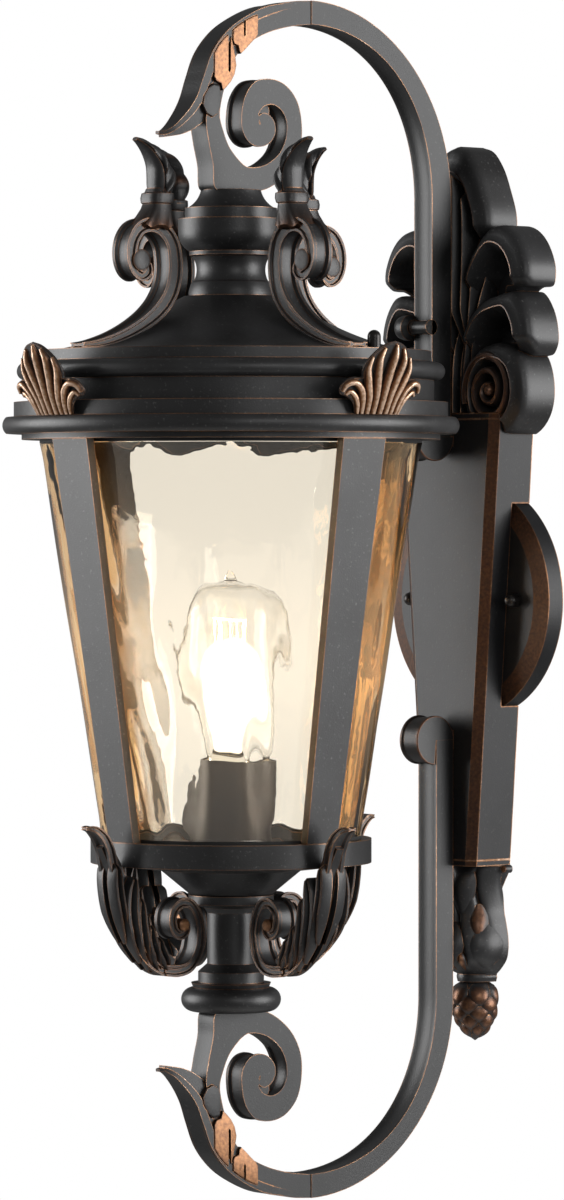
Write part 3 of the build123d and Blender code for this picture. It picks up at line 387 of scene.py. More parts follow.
# Ends a glass: lamps' light passes it as a plain tint
def passLight(add, glass, tint):
    through = add("BsdfTransparent", {"Color": colour(tint)})
    shadow = add("LightPath").outputs["Is Shadow Ray"]
    both = add("MixShader", {0: shadow, 1: glass, 2: through})
    add("OutputMaterial", {"Surface": both})


# Hand rolled water glass, champagne coloured: clear and bright face on, amber where it is seen edge on,
# with slow waves that bend what is behind it, and a painted glow: emission beside the lamp that stands in
# for its light caught in the glass.
def waterGlass(name, look):
    material, add = newMaterial(name)
    edgeOn = add("LayerWeight", {"Blend": 0.5}).outputs["Facing"]
    tint = setStops(add("ValToRGB", {"Fac": edgeOn}), [(0.2, look["clear"]), (0.34, look["amber"])])
    place = add("TexCoord").outputs["Object"]
    seeds = add("TexNoise", {"Vector": place, "Scale": 60.0, "Detail": 2.0})
    bump = add("Bump", {"Height": seeds, "Strength": 0.25, "Distance": 0.0012})
    # painted glow: the glass emits warm light where the lamp is near, in place of the lamp's light lighting
    # it
    lit = add("Attribute", attribute_name="lit").outputs["Fac"]
    paintedLampGlow = add("Math", {0: lit, 1: look["paintedLampGlowStrength"]}, operation="MULTIPLY")
    glass = add("BsdfPrincipled", {"Base Color": tint, "Roughness": 0.0, "IOR": look["ior"],
                                   "Transmission Weight": 1.0, "Normal": bump,
                                   "Emission Color": colour(look["paintedLampGlow"]), "Emission Strength": paintedLampGlow})
    passLight(add, glass, look["shade"])
    return material


# Waves round and up the glass, from -1 to 1: two crossing sines, each bent by slower ones
def waves(turn, height, shift):
    bend = 1.5 * np.sin(height / 33 + 1.1 + shift) + 1.1 * np.sin(2 * turn + height / 57 + shift)
    lean = 1.9 * np.sin(3 * turn + shift) + 1.3 * np.sin(5 * turn + 0.5 + height / 80)
    cells = np.sin(16 * turn + bend) * np.sin(height / 22 + lean)
    drift = np.sin(9 * turn - height / 29 + 2 * shift) * 0.5 + 0.3 * np.sin(27 * turn + height / 19 + lean)
    return np.clip((cells + drift) / 1.5, -1, 1)


# The shade: a cone whose outer and inner faces each follow their own waves, closed over its two rims
def makeGlass(look):
    turn = fullTurn(look["around"])
    height = np.linspace(glassHigh[2], glassLow[2], look["rows"])[:, None]
    share = (height - glassLow[2]) / (glassHigh[2] - glassLow[2])
    topR, footR = outerRadius("glass_shade"), outerRadius("glass_seal_foot")
    cone = footR + (topR - footR) * share
    calm = np.clip(np.minimum(share, 1 - share) * 22, 0, 1)      # flat where the seals hold it
    outer = cone - calm * look["waveOut"] * (0.5 + 0.5 * waves(turn, height, 0.0))
    inner = cone - look["wall"] - calm * look["waveIn"] * (0.5 - 0.5 * waves(turn, height, 2.3))
    radius = np.concatenate([outer, inner[::-1], outer[:1]])
    level = np.concatenate([height, height[::-1], height[:1]])
    glass = waterGlass("champagneWaterGlass", look)
    shade = makePiece("rippledShade", [(turned(radius, level, turn), 0.0, True, False)], glass,
                      ["glass_shade"], sharp=60)
    # painted glow: a share from 0 to 1 on the outer face, greatest at the lamp's height, for the glass to
    # emit warm light by
    points = np.empty(len(shade.data.vertices) * 3)
    shade.data.vertices.foreach_get("co", points)
    x, y, z = points.reshape(-1, 3).T * 1000
    share = (z - glassLow[2]) / (glassHigh[2] - glassLow[2])
    outside = np.hypot(x, y + reach) > footR + (topR - footR) * share - look["wall"] / 2 - 0.4
    lit = outside * np.exp(-((z - look["litHeight"]) / look["litSpread"]) ** 2)
    setShare(shade.data, "lit", lit)


makeGlass(glassLook)
print("glass made")

lamp = {
    "glass": "#fffdf8",
    "filament": "#ffd9a0", "filamentStrength": 12.0,
    "glow": "#fff6e4", "glowStrength": 2.2,
    # radius and height of the painted glow round the filament, mm
    "glowShape": [(0.5, -76), (5, -75), (8, -68), (12.5, -60), (15.8, -51), (17, -42), (16.8, -33),
                  (14, -25), (8, -19), (0.5, -16.5)],
}


# Blown lamp glass: thin, clear and faintly warm
def lampGlass(name, tint, roughness):
    material, add = newMaterial(name)
    place = add("TexCoord").outputs["Object"]
    seeds = add("TexNoise", {"Vector": place, "Scale": 90.0, "Detail": 1.0})
    tone = setStops(add("ValToRGB", {"Fac": seeds}), [(0.3, tint), (0.7, "#ffffff")])
    glass = add("BsdfPrincipled", {"Base Color": tone, "Roughness": roughness, "IOR": 1.3,
                                   "Transmission Weight": 1.0})
    passLight(add, glass, "#fbf8f0")
    return material


# Tungsten wire at white heat
def hotWire(name, look):
    material, add = newMaterial(name)
    place = add("TexCoord").outputs["Object"]
    coils = add("TexNoise", {"Vector": place, "Scale": 500.0, "Detail": 1.0})
    tone = setStops(add("ValToRGB", {"Fac": coils}), [(0.3, "#ffb765"), (0.7, look["filament"])])
    wire = add("BsdfPrincipled", {"Base Color": tone, "Emission Color": tone, "Roughness": 0.4,
                                  "Emission Strength": look["filamentStrength"]})
    add("OutputMaterial", {"Surface": wire})
    return material


# Painted glow in the lamp: an emissive shell round the filament, white in the middle and fading out towards
# its edge, standing in for the filament's glare
def paintedFilamentGlow(name, look):
    material, add = newMaterial(name)
    edgeOn = add("LayerWeight", {"Blend": 0.5}).outputs["Facing"]
    here = add("MapRange", between(edgeOn, 0.95, 0.35), interpolation_type="SMOOTHSTEP")
    shine = add("Emission", {"Color": colour(look["glow"]), "Strength": look["glowStrength"]})
    clear = add("BsdfTransparent")
    both = add("MixShader", {0: here, 1: clear, 2: shine})
    add("OutputMaterial", {"Surface": both})
    return material


# The painted glow's outline turned about the axis
def makeGlow(look):
    line = smoothLine(look["glowShape"], 40)
    grid = turned(line[:, 0:1], line[:, 1:2], fullTurn(48))
    makePiece("lampGlow", [(grid, 0.0, True, True)], paintedFilamentGlow("paintedFilamentGlow", look), body="bulb",
              sharp=80)


makeGlow(lamp)
finishes["bulb_glass"] = lampGlass("blownLampGlass", lamp["glass"], 0.0)
finishes["bulb_stem"] = lampGlass("pressedStemGlass", "#f4f2ea", 0.05)
finishes["filament"] = hotWire("whiteHotTungsten", lamp)
print("lamp made")

slots = {part["node"]: part["material_slot"] for part in frame["record"]["subparts"]}
for name, node in frame["nodes"].items():
    node.data.materials.clear()
    node.data.materials.append(finishes.get(slots[name], cast))
# the spine, its plates and the canopy take the darker coved coat: painted shade
for name in ("spine", "spine_top_plate", "spine_foot_plate", "canopy"):
    frame["nodes"][name].data.materials[0] = shadedCastCoved
print("frame finished")

# Sections carried along a strip: (share from outer to inner edge, push, side, inset, rub)
barSection = [(0, 0, 1, 1.8, 0), (0, 1.3, 1, 3.0, 0), (0, 1.3, -1, 3.0, 0), (0, 0, -1, 1.8, 0),
              (0, 0, -1, 0, 0), (1, 0, -1, 0, 0), (1, 0, -1, 1.8, 0), (1, -1.6, -1, 3.0, 0),
              (1, -1.6, 1, 3.0, 0), (1, 0, 1, 1.8, 0), (1, 0, 1, 0, 0), (0, 0, 1, 0, 0)]
flatSection = [(0, 0, 1, 0, 0), (0, 0, -1, 0, 0), (1, 0, -1, 0, 0), (1, 0, 1, 0, 0)]

# Drawn beside the lantern's axis: y from the axis towards the wall, and height
upperArm = {
    "lugRadius": 12.6,
    "lugInset": 12.9,           # the lug's middle from the arm's wall side
    "halfWidth": 7.0,
    "archRise": 98.0, "crownThick": 12.0, "waist": 1.6,
    "straightRows": 30, "archRows": 90,
    "headTurn": -268, "headRows": 60,       # degrees and steps that the bar's end curls over
    "padHeight": 5,             # half the height of the pad on the spine
    # outer y, z, inner y, z, half width: crown of the arch out to the tip of its leaf
    "leafBody": [(46.9, 302.8, 46.9, 290.8, 6.5), (35, 301.8, 35.5, 289.4, 6.5),
                 (24, 299.5, 24, 286.8, 6.4), (12, 295.9, 13.5, 283, 6.3), (3, 291.6, 5, 278.6, 6.3),
                 (-8, 284.8, -2.5, 271.5, 6.2), (-16.5, 276, -8.5, 262.5, 6.0),
                 (-22, 265, -11.6, 254.5, 5.8), (-25.8, 253.5, -14.6, 246.6, 5.4),
                 (-32.2, 243, -22.5, 238.2, 4.4), (-39.5, 235.8, -34, 232.4, 3.2),
                 (-44.9, 232.6, -44.3, 230.6, 2.2)],
    # y, z, thickness, half width: the blade that wraps the leaf's outside
    "blade": [(34, 299.4, 2.0, 6.1), (22, 297.2, 4.2, 6.6), (6, 291, 4.6, 7.0), (-7, 282.6, 4.8, 7.3),
              (-16, 272.2, 4.8, 7.4), (-21.5, 260, 4.6, 7.3), (-26.2, 249.2, 4.2, 6.8),
              (-33.5, 240.2, 3.2, 5.4), (-41.0, 234.2, 2.2, 3.6), (-44.4, 232.8, 1.8, 2.4),
              (-47.2, 232.9, 1.4, 1.4)],
    # the strap down to the cap, round the seat and up into its scroll
    "strap": [(-12, 270, -5, 264, 5.6), (-18.2, 252, -10.5, 252, 6.1), (-21.2, 240, -12.3, 242, 6.3),
              (-19.6, 230, -9.9, 234.4, 6.3), (-16.6, 217.5, -5.4, 226, 6.3), (-15.3, 206.3, 2, 219.2, 6.3),
              (0.5, 206.3, 9.5, 217.4, 6.3), (15.8, 206.3, 19, 219.8, 6.3), (25.6, 210.8, 25.2, 224, 6.3),
              (35.4, 219.6, 29.2, 229.4, 6.3), (40.2, 229, 31, 234.6, 6.3), (41, 240.5, 31, 241, 6.3),
              (37.6, 252.4, 27.6, 246.8, 6.3), (29.4, 260, 22, 249.3, 6.3), (19.4, 262.2, 16.6, 248.3, 6.3),
              (10.4, 260.2, 13.4, 245.2, 6.3), (4.4, 253.4, 13, 242.6, 6.3), (1.9, 244, 13.2, 240.4, 6.3),
              (2.4, 235.5, 13.4, 239.4, 6.3), (7, 229.6, 13.6, 239.2, 6.3), (13.6, 227.9, 13.7, 239.2, 6.3),
              (19.8, 230, 13.8, 239.3, 6.3), (23.6, 235, 13.8, 239.4, 6.3), (23.2, 240.4, 13.8, 239.6, 6.3),
              (19.8, 244, 13.7, 239.9, 6.3), (15.6, 244.9, 13.5, 240.4, 6.3),
              (12.9, 243.4, 13.1, 241.4, 6.3)],
    # copper leaflets on each side of the leaf: two flat fingers each, joined below their slit
    "leaflets": [[(-17.0, 273.4), (-14.0, 277.6), (-10.6, 281.0), (-8.1, 282.8), (-8.1, 270), (-8.1, 264.6),
                  (-7.3, 263.4), (-6.4, 264.6), (-6.3, 272), (-6.2, 282.0), (-4.9, 277.6), (-3.6, 272.6),
                  (-2.8, 267.7), (-4.0, 263.0), (-6.4, 259.2), (-9.4, 256.2), (-11.6, 254.8),
                  (-12.7, 258.2), (-15.8, 259.2), (-17.1, 261.4)],
                 [(-5.0, 285.2), (-2.0, 287.4), (1.7, 289.6), (1.7, 283.2), (2.4, 281.8), (3.1, 283.2),
                  (3.2, 290.4), (7.2, 292.2), (11.2, 293.6), (11.2, 284), (9.6, 281.8), (6.6, 279.2),
                  (2.4, 275.4), (0.2, 273.6), (-1.0, 274.8), (-1.4, 277.4), (-4.2, 278.4), (-5.0, 280.2)]],
    "raise": [(1, 5.4, 0.1), (1, 7.4, 0.22), (0.97, 7.9, 0.42), (0.9, 8.0, 0.56)],
    # the leaf's folded lobe behind its tip, and the dark web in the scroll's throat
    "lobe": [(-24.2, 247.4), (-23.4, 251.6), (-20.6, 255.8), (-16.8, 258.2), (-13.2, 257.4), (-12.4, 252),
             (-12.6, 246.6), (-14.4, 243), (-17.6, 241.4), (-21.6, 243)],
    "lobeRaise": [(1, 5.4, 0.02), (1, 7.1, 0.06), (0.95, 7.5, 0.16), (0.86, 7.6, 0.04), (0.4, 7.7, 0)],
    "web": (17.6, 246.2, 4.8),
}
# The peg that locks the upper arm to the wall palmette: a round stem across the bar, with a domed head
peg = {
    "height": 140.1,
    "stem": 3.9, "head": 6.6,   # radii
    # share of the head's radius, height off the bar's face, rub
    "dome": [(0.7, 0, 0), (1, 1.2, 0), (1, 4.5, 0.05), (0.86, 7.4, 0.16), (0.5, 9.2, 0.1)],
}


# The bar and the arch: straight up from the lug, then a quarter ellipse over to the crown, slimmer on the
# way
def barRails(look, lugHeight, back, deep):
    crown, rise = span("upper_arm")[1][2], look["archRise"]
    middle, rows = look["leafBody"][0][0], look["straightRows"]
    turn = np.linspace(0, np.pi / 2, look["archRows"])
    straight = np.linspace(lugHeight, crown - rise, rows, endpoint=False)
    slim = deep + (look["crownThick"] - deep) * np.sin(turn) ** 2 - look["waist"] * np.sin(2 * turn) ** 2
    columns = []
    for cut, thin in ((0, 0), (deep, slim)):        # the outer edge, then the inner one
        arch = middle + (back - middle - thin) * np.cos(turn)
        columns.append(np.concatenate([np.full(rows, back - cut), arch]))
        columns.append(np.concatenate([straight, crown - rise + (rise - thin) * np.sin(turn)]))
    return np.stack(columns + [np.full(rows + look["archRows"], look["halfWidth"])], axis=1)


# The round head that the bar's end curls over into: a fan round the lug's middle, from the bar's back
# round to its front
def curledHead(look, lugY, lugHeight):
    count, radius = look["headRows"], look["lugRadius"]
    turn = np.radians(np.linspace(0, look["headTurn"], count))
    rows = gridOf(lugY + radius * np.cos(turn), lugHeight + radius * np.sin(turn), lugY + 0.3, lugHeight,
                  look["halfWidth"])
    headSection = [(0, 0, 1, 0.4, 0.36), (0, 0, 1, 1.6, 0.12), (0, 0.8, 1, 2.6, 0.1), (0, 0.8, -1, 2.6, 0.1),
                   (0, 0, -1, 1.6, 0.12), (0, 0, -1, 0.4, 0.36), (0, 0.4, -1, 0, 0.42), (0, 1.0, -1, 0, 0),
                   (1, 0, -1, 0, 0), (1, 0, 1, 0, 0), (0, 1.0, 1, 0, 0), (0, 0.4, 1, 0, 0.42)]
    return ribbon(rows, headSection)


def makeArm(name, node, look, lugHeight, flip, back, deep, peg=None):
    half = look["halfWidth"]
    wallSide = span("upper_arm")[1][1] + reach
    lugY = wallSide - look["lugInset"]
    x, y, radius = look["web"]
    strap = smoothLine(look["strap"], 260)
    rails = barRails(look, lugHeight, lugY + back, deep)
    patches = [ribbon(rails, barSection, depth=np.full(len(rails), 0.35)),
               curledHead(look, lugY, lugHeight),
               ribbon(smoothLine(look["leafBody"], 90), flatSection),
               ribbon(railsOf(look["blade"], 80), flatSection, np.linspace(0.0, 1, 80)),
               ribbon(strap, barSection, depth=np.clip(np.linspace(-0.6, 2.4, 260), 0.1, 1)),
               button(x, y, radius, [(1, 3, 0), (1, -3, 0)])]
    for side in (-1, 1):
        for outline in look["leaflets"]:
            patches.append(raised(outline, look["raise"], side))
        patches.append(raised(look["lobe"], look["lobeRaise"], side))
    # the pad that stands on the spine, behind the lug
    foot, head = lugHeight - look["padHeight"], lugHeight + look["padHeight"]
    pad = np.array([(y, foot, y, head, half - 0.5) for y in (lugY, wallSide)])
    patches.append(ribbon(pad, flatSection))
    if peg:
        y = lugY + back - deep - 0.6
        stem = [(1, -half, 0), (1, 1.2 - half, 0.05), (0.86, 1.8 - half, 0), (0.86, half - 1.8, 0),
                (1, half - 1.2, 0.05), (1, half, 0)]
        dome = [(share, half + level, rub) for share, level, rub in peg["dome"]]
        patches += [button(y, peg["height"], peg["stem"], stem),
                    button(y - 1, peg["height"], peg["head"], dome)]

    def placeArm(points):
        points = points.copy()
        if flip:
            points[..., 1] = 2 * armMiddle - points[..., 1]
        return onAxis(points, 180)

    # the arms take the darker coat: painted shade
    makePiece(name, patches, shadedCastArms, [node], placeArm)


lugs = [float(span(node)[side][2]) for node, side in (("upper_arm", 0), ("lower_arm", 1))]
armMiddle = (span("roof_cap")[1][2] + span("base_washer")[0][2]) / 2     # the arms mirror each other about it
radius = upperArm["lugRadius"]
makeArm("upperScrollArm", "upper_arm", upperArm, lugs[0] + radius, False, 10.6, 13.0, peg)
makeArm("lowerScrollArm", "lower_arm", upperArm, 2 * armMiddle - lugs[1] + radius, True, 12.2, 11.6)
print("arms made")

# A strip with beaded edges on all its faces
beadSection = [(0, 0, 1, 0, 0.05), (0, 0, 1, 2.0, 0.05), (0, 1.8, 1, 3.0, 0), (0, 1.8, -1, 3.0, 0),
               (0, 0, -1, 2.0, 0.05), (0, 0, -1, 0, 0.05), (0, 1.3, -1, 0, 0.1), (0, 2.1, -1, 1.1, 0),
               (1, -2.1, -1, 1.1, 0), (1, -1.3, -1, 0, 0.1), (1, 0, -1, 0, 0.05), (1, 0, -1, 2.0, 0.05),
               (1, -1.6, -1, 3.0, 0), (1, -1.6, 1, 3.0, 0), (1, 0, 1, 2.0, 0.05), (1, 0, 1, 0, 0.05),
               (1, -1.3, 1, 0, 0.1), (1, -2.1, 1, 1.1, 0), (0, 2.1, 1, 1.1, 0), (0, 1.3, 1, 0, 0.1)]

roofBracket = {
    # out from the axis, height, thickness, half width: off the roof, up, over and down into the eye
    "strap": [(97.2, 126.9, 2.4, 6), (91, 127.4, 3.2, 6), (83.9, 128.6, 4.4, 6), (75.5, 131.0, 5.2, 6),
              (67.3, 134.2, 6.0, 6), (59.4, 138.2, 6.8, 6), (52.2, 143, 7.6, 6), (46.6, 148.4, 8.2, 6),
              (42.4, 155.2, 8.5, 6), (40.4, 162.6, 8.5, 6), (40.3, 170.2, 8.5, 6), (41.8, 177.4, 8.2, 6),
              (45.2, 182.4, 7.8, 6), (50.2, 185.8, 7.3, 6), (56.4, 186.8, 6.9, 6), (62.2, 184.8, 6.7, 6),
              (66, 180.2, 6.6, 6), (67.7, 174.2, 6.4, 6), (67.2, 168.2, 6.1, 6), (64.6, 163.4, 5.6, 6),
              (60.4, 161.5, 5.1, 6), (57, 164, 4.5, 6), (57.2, 167.6, 3.8, 5.6)],
    "eye": (61.6, 169.2, 5.4),
    # the bell: height, middle, half depth, half width, flute depth
    "bell": [(185.0, 51.0, 9.0, 7.0, 0.05), (186.2, 51.2, 10.4, 8.2, 0.05), (187.6, 51.0, 9.8, 8.0, 0.04),
             (191.0, 49.4, 8.2, 7.4, 0.02), (195.0, 48.0, 6.6, 6.8, 0.01), (197.4, 47.6, 6.0, 6.5, 0.0),
             (197.9, 47.5, 6.8, 7.2, 0.0), (200.2, 47.3, 7.2, 7.6, 0.0), (202.6, 47.0, 6.9, 7.3, 0.0),
             (203.2, 47.0, 5.4, 6.2, 0.0), (205, 47.0, 4.8, 5.4, 0.0)],
    # the plume: out, height, thickness, half width
    "plume": [(45.6, 202, 11.0, 6.6), (45.0, 206.5, 12.4, 7.4), (45.2, 211.5, 12.0, 7.6),
              (46.6, 216.5, 10.2, 7.3), (49.6, 221, 7.8, 6.4), (53.6, 225.0, 5.4, 5.2),
              (57.8, 227.8, 3.4, 3.8), (61.2, 229.2, 1.8, 2.4)],
    # the plume's veins, their slant, and where the groove and the rib lie across it
    "veins": 2.7, "slant": 0.62, "grooveAt": 0.3, "grooveWide": 0.09, "ribFrom": 0.34, "ribRise": 0.1,
    # the bell: flutes, how square its rings are (under 1), its lip's waves and where the lip ends
    "flutes": 8, "square": 0.62, "lipWave": 14, "lipFrom": 188,
}


# A front and a back, joined so that they wrap round
def closed(front, back):
    return np.concatenate([front, back[:, ::-1]], axis=1)


# A leaf-shaped strip with chevron veins on its sides: the outer rib stands proud beside a dark groove,
# and each vein is a soft ridge that climbs away from it. Ridge height is a sine of length and distance
# from the rib.
def veinedPlume(look, rows=64, across=31):
    line = smoothLine(look["plume"], rows)
    left = leftOf(line)
    share = np.linspace(-1, 1, across)                  # -1 is the inner edge, 1 the outer rib's side
    length = np.linspace(0, 1, rows)[:, None]
    wave = np.sin(2 * np.pi * (look["veins"] * length + look["slant"] * share + 0.1))
    rib = np.clip((share - look["ribFrom"]) / look["ribRise"], 0, 1)
    groove = np.exp(-((share - look["grooveAt"]) / look["grooveWide"]) ** 2)
    ridge = np.where(rib > 0.5, 0.9, np.clip(wave, -0.3, 1) * np.clip((0.94 - length) * 5, 0, 1))
    swell = np.sqrt(np.clip(1 - (0.98 * share) ** 2, 0, 1))
    half = line[:, 3:4] * (0.2 + 0.8 * swell) * (0.8 + 0.2 * ridge - 0.26 * groove)
    # the inner edge is scalloped by the veins that end there
    scallop = 1 + 0.16 * ridge * np.clip(-share, 0, 1)
    out = (share * scallop)[..., None] * line[:, None, 2:3] / 2
    flat = line[:, None, :2] - left[:, None, :] * out
    rub = np.clip(0.02 + (0.1 + 0.2 * (share < -0.8)) * ridge * (1 - rib) - 0.1 * groove, 0, 1)
    near, away = [gridOf(flat[..., 0], flat[..., 1], level) for level in (half, -half)]
    return closed(near, away), closed(rub, rub), True, True


# Stacked rounded-square rings with flutes towards the lip
def flutedBell(look, around=56):
    rings = np.array(look["bell"], float)
    turn = fullTurn(around)
    wave = np.cos(look["flutes"] * turn)
    flute = 1 + rings[:, 4:5] * wave
    power = look["square"]
    c, s = np.cos(turn), np.sin(turn)
    out = rings[:, 1:2] + rings[:, 2:3] * np.sign(c) * np.abs(c) ** power * flute
    across = rings[:, 3:4] * np.sign(s) * np.abs(s) ** power * flute
    lip = rings[:, 0:1] < look["lipFrom"]
    up = rings[:, 0:1] + look["lipWave"] * rings[:, 4:5] * wave * lip
    return gridOf(out, up, across), 0.1 + 4.8 * rings[:, 4:5], True, True


def makeRoofBracket(side, look):
    x, y, radius = look["eye"]
    patches = [ribbon(railsOf(look["strap"], 170), beadSection),
               button(x, y, radius, [(0.75, 6.4, 0.1), (1, 5.9, 0.3), (1, -5.9, 0.3), (0.75, -6.4, 0.1)], 36),
               flutedBell(look), veinedPlume(look)]
    makePiece("roofScroll_" + side, patches, cast, ["roof_bracket_" + side],
              lambda points: onAxis(points, quarters[side]))


for side in quarters:
    makeRoofBracket(side, roofBracket)
print("roof brackets made")

baseBracket = {
    # the outer rib of the acanthus, from its tip down: out, height, thickness, half width
    "rib": [(93.2, -109.9, 1.6, 2.4), (89.4, -110.2, 3.0, 3.6), (84.6, -113.4, 4.2, 4.6),
            (80.8, -119.4, 4.6, 5.0), (78.4, -128, 4.6, 5.2), (76.0, -138, 4.6, 5.2),
            (73.2, -148.2, 4.6, 5.2), (69.2, -158.6, 4.6, 5.2), (63.0, -168.8, 4.8, 5.2),
            (55.4, -177.0, 4.8, 5.2), (46.2, -182.0, 4.6, 5.2), (37, -183, 4.0, 5.0)],
    # the web between the leaflets: out, height, thickness, half width
    "web": [(82, -118.4, 5, 2.2), (76.4, -128, 7, 2.8), (72.6, -139, 9.5, 3.0), (68.4, -149.4, 11, 3.2),
            (62.4, -160, 12, 3.2), (54.6, -169.4, 11, 3.2), (46.2, -175.8, 8, 3.2), (39, -178.8, 5, 3.2)],
    # leaflets on each side: path of (out, height, width) from root to tip
    "leaflets": [[(69.0, -167, 3), (73.4, -155, 6.0), (76.4, -142, 6.8), (77.4, -132, 5.4),
                  (77.8, -127.4, 2)],
                 [(59.4, -176.6, 4), (65.4, -165, 8.6), (68.2, -151, 10.0), (67.7, -140, 7.8),
                  (67.0, -134.4, 3)],
                 [(54.0, -180.4, 4), (59.2, -171.0, 7.6), (61.8, -159, 8.0), (62.6, -149.5, 6),
                  (62.8, -144.8, 2.6)],
                 [(48.6, -182.2, 3.6), (53.2, -173, 6.8), (55.8, -165, 6.8), (56.6, -158.8, 3)],
                 [(42.6, -182.4, 3.4), (47.4, -175.4, 6.4), (50.4, -169.6, 6.0), (51.2, -165, 2.6)]],
    "low": 1.8, "rootProud": 3.4, "proud": 8.0,     # how far a leaflet stands out: its foot, root and middle
    # the scroll that ends against the column
    "tail": [(46, -181.6, 5.4, 6), (38.4, -182.2, 5.8, 6), (31.6, -180.6, 5.6, 6), (26.6, -175.4, 5.3, 6),
             (24.2, -168, 5.1, 6), (24.4, -160, 5.0, 6), (27, -153, 5.0, 6), (31.6, -148.8, 5.0, 6),
             (36.8, -149, 4.9, 6), (40.8, -152.4, 4.8, 6), (42, -157.6, 4.7, 6), (40.4, -162.6, 4.6, 6),
             (36.4, -164.6, 4.4, 6), (33.2, -162.4, 4.2, 5.9), (33, -159, 4.0, 5.7)],
    "eye": (34.4, -159.6, 3.2),
}
# A blade's section: (-1 to 1 across, height, rub), with a groove down its middle
acanthusSection = [(-1, 0, 0.0), (-0.92, 0.74, 0.06), (-0.7, 0.96, 0.12), (-0.42, 1, 0.12),
                   (-0.18, 0.8, 0.2), (-0.08, 0.45, 0.36), (0.08, 0.45, 0.36), (0.18, 0.8, 0.2),
                   (0.42, 1, 0.12), (0.7, 0.96, 0.12), (0.92, 0.74, 0.06), (1, 0, 0.0)]


def makeBaseBracket(side, look):
    x, y, radius = look["eye"]
    patches = [ribbon(railsOf(look["rib"], 90), beadSection), ribbon(railsOf(look["web"], 60), flatSection),
               ribbon(railsOf(look["tail"], 130), beadSection),
               button(x, y, radius, [(0.6, 6.6, 0.6), (1, 5.6, 0.5), (1, -5.6, 0.5), (0.6, -6.6, 0.6)], 28)]
    for across in (-1, 1):
        for path in look["leaflets"]:
            share = np.linspace(0, 1, 30)[:, None]
            rise = np.clip(share / 0.4, 0, 1) ** 0.7
            proud = look["rootProud"] + (look["proud"] - look["rootProud"]) * rise
            points, rub, wrap, caps = blade(path, 30, acanthusSection, look["low"], proud, across)
            warm = np.clip(2.6 - 5.2 * share, 0, 2.3)      # only the roots are rubbed
            patches.append((points, np.clip(rub * warm, 0, 1), wrap, caps))
    makePiece("acanthusBracket_" + side, patches, cast, ["base_bracket_" + side],
              lambda points: onAxis(points, quarters[side]))


for side in quarters:
    makeBaseBracket(side, baseBracket)
print("base brackets made")

# A flat plate from one side's outline points, mirrored, with a short rounded edge
def plate(half, low, high, rub=0.0):
    right = smoothLine(half, 60)
    loop = np.concatenate([right, (right * [-1, 1])[::-1][1:-1]])
    middle = loop.mean(axis=0)
    rings = []
    for share, level in ((0.985, low), (1, low + 0.4), (1, high - 0.6), (0.965, high)):
        flat = middle + (loop - middle) * share
        rings.append(np.concatenate([flat, np.full((len(flat), 1), level)], axis=1))
    return np.array(rings), rub, True, True


rimPalmette = {
    "lean": 22.0,               # degrees outwards
    "inward": 4.2,              # rim's edge to the palmette's foot, mm
    "bend": 0.0042,             # the plate follows the round rim: x squared times this, mm
    "thick": 1.7, "fluteFoot": 1.4,
    "outline": [(0, 38.3), (5.4, 36.7), (10.8, 32.2), (14.4, 26.8), (15.4, 22), (14.9, 18.9), (19, 18.6),
                (23, 16.6), (25.1, 13.2), (24.6, 10.0), (21, 8.6), (17.6, 7.0), (15, 4), (13.8, 0.2)],
    # flutes of one side: path of (across, up, width) and how far each stands out
    "flutes": [([(3.9, 0.6, 3.4), (4.6, 12, 4.0), (6.6, 22, 4.3), (7.6, 29.5, 3.6), (5.8, 35.0, 1.8)], 4.2),
               ([(7.4, 0.6, 3.0), (8.4, 9.5, 3.8), (11.2, 17.6, 4.0), (13.0, 24.3, 3.2), (11.8, 30, 1.6)],
                4.0),
               ([(10.6, 0.6, 2.6), (11.8, 7.4, 3.3), (14.6, 13.8, 3.6), (19, 16.6, 3.5), (23, 14.8, 3.0),
                 (24.0, 11.4, 2)], 4.3),
               ([(13.0, 0.8, 2.2), (14.1, 5.6, 2.8), (16.8, 9.8, 3.0), (20.2, 11.6, 2.6), (21.8, 9.8, 1.8)],
                3.7)],
    "middle": ([(0, 0.6, 3.4), (0, 12, 4.2), (0.4, 24, 4.5), (1.0, 32, 3.8), (0.8, 37, 1.8)], 4.4),
}
fluteSection = [(-1, 0, 0.1), (-0.8, 0.62, 0.55), (-0.42, 0.93, 0.95), (0, 1, 1), (0.42, 0.93, 0.95),
                (0.8, 0.62, 0.55), (1, 0, 0.1)]


def mirrorX(path):
    return [(-x, *rest) for x, *rest in path]


def makeRimPalmette(side, look):
    footR = outerRadius("cage_rim") - look["inward"]
    footZ = float(span("rim_palmette_" + side)[0][2])
    lean = radians(look["lean"])
    patches = [plate(look["outline"], 0, look["thick"], rub=0.1)]
    lines = [look["middle"]]
    for path, out in look["flutes"]:
        lines += [(path, out), (mirrorX(path), out)]
    for path, out in lines:
        patches.append(blade(path, 30, fluteSection, look["fluteFoot"], out))

    def placeFan(points):
        across, up, level = np.moveaxis(points, -1, 0)
        level = level - look["bend"] * across ** 2
        out = footR + up * sin(lean) + level * cos(lean)
        high = np.maximum(footZ + up * cos(lean) - level * sin(lean), footZ)
        return onAxis(gridOf(out, high, across), quarters[side])

    makePiece("flutedPalmette_" + side, patches, cast, ["rim_palmette_" + side], placeFan)


for side in ("front", "right", "left"):
    makeRimPalmette(side, rimPalmette)
print("rim palmettes made")

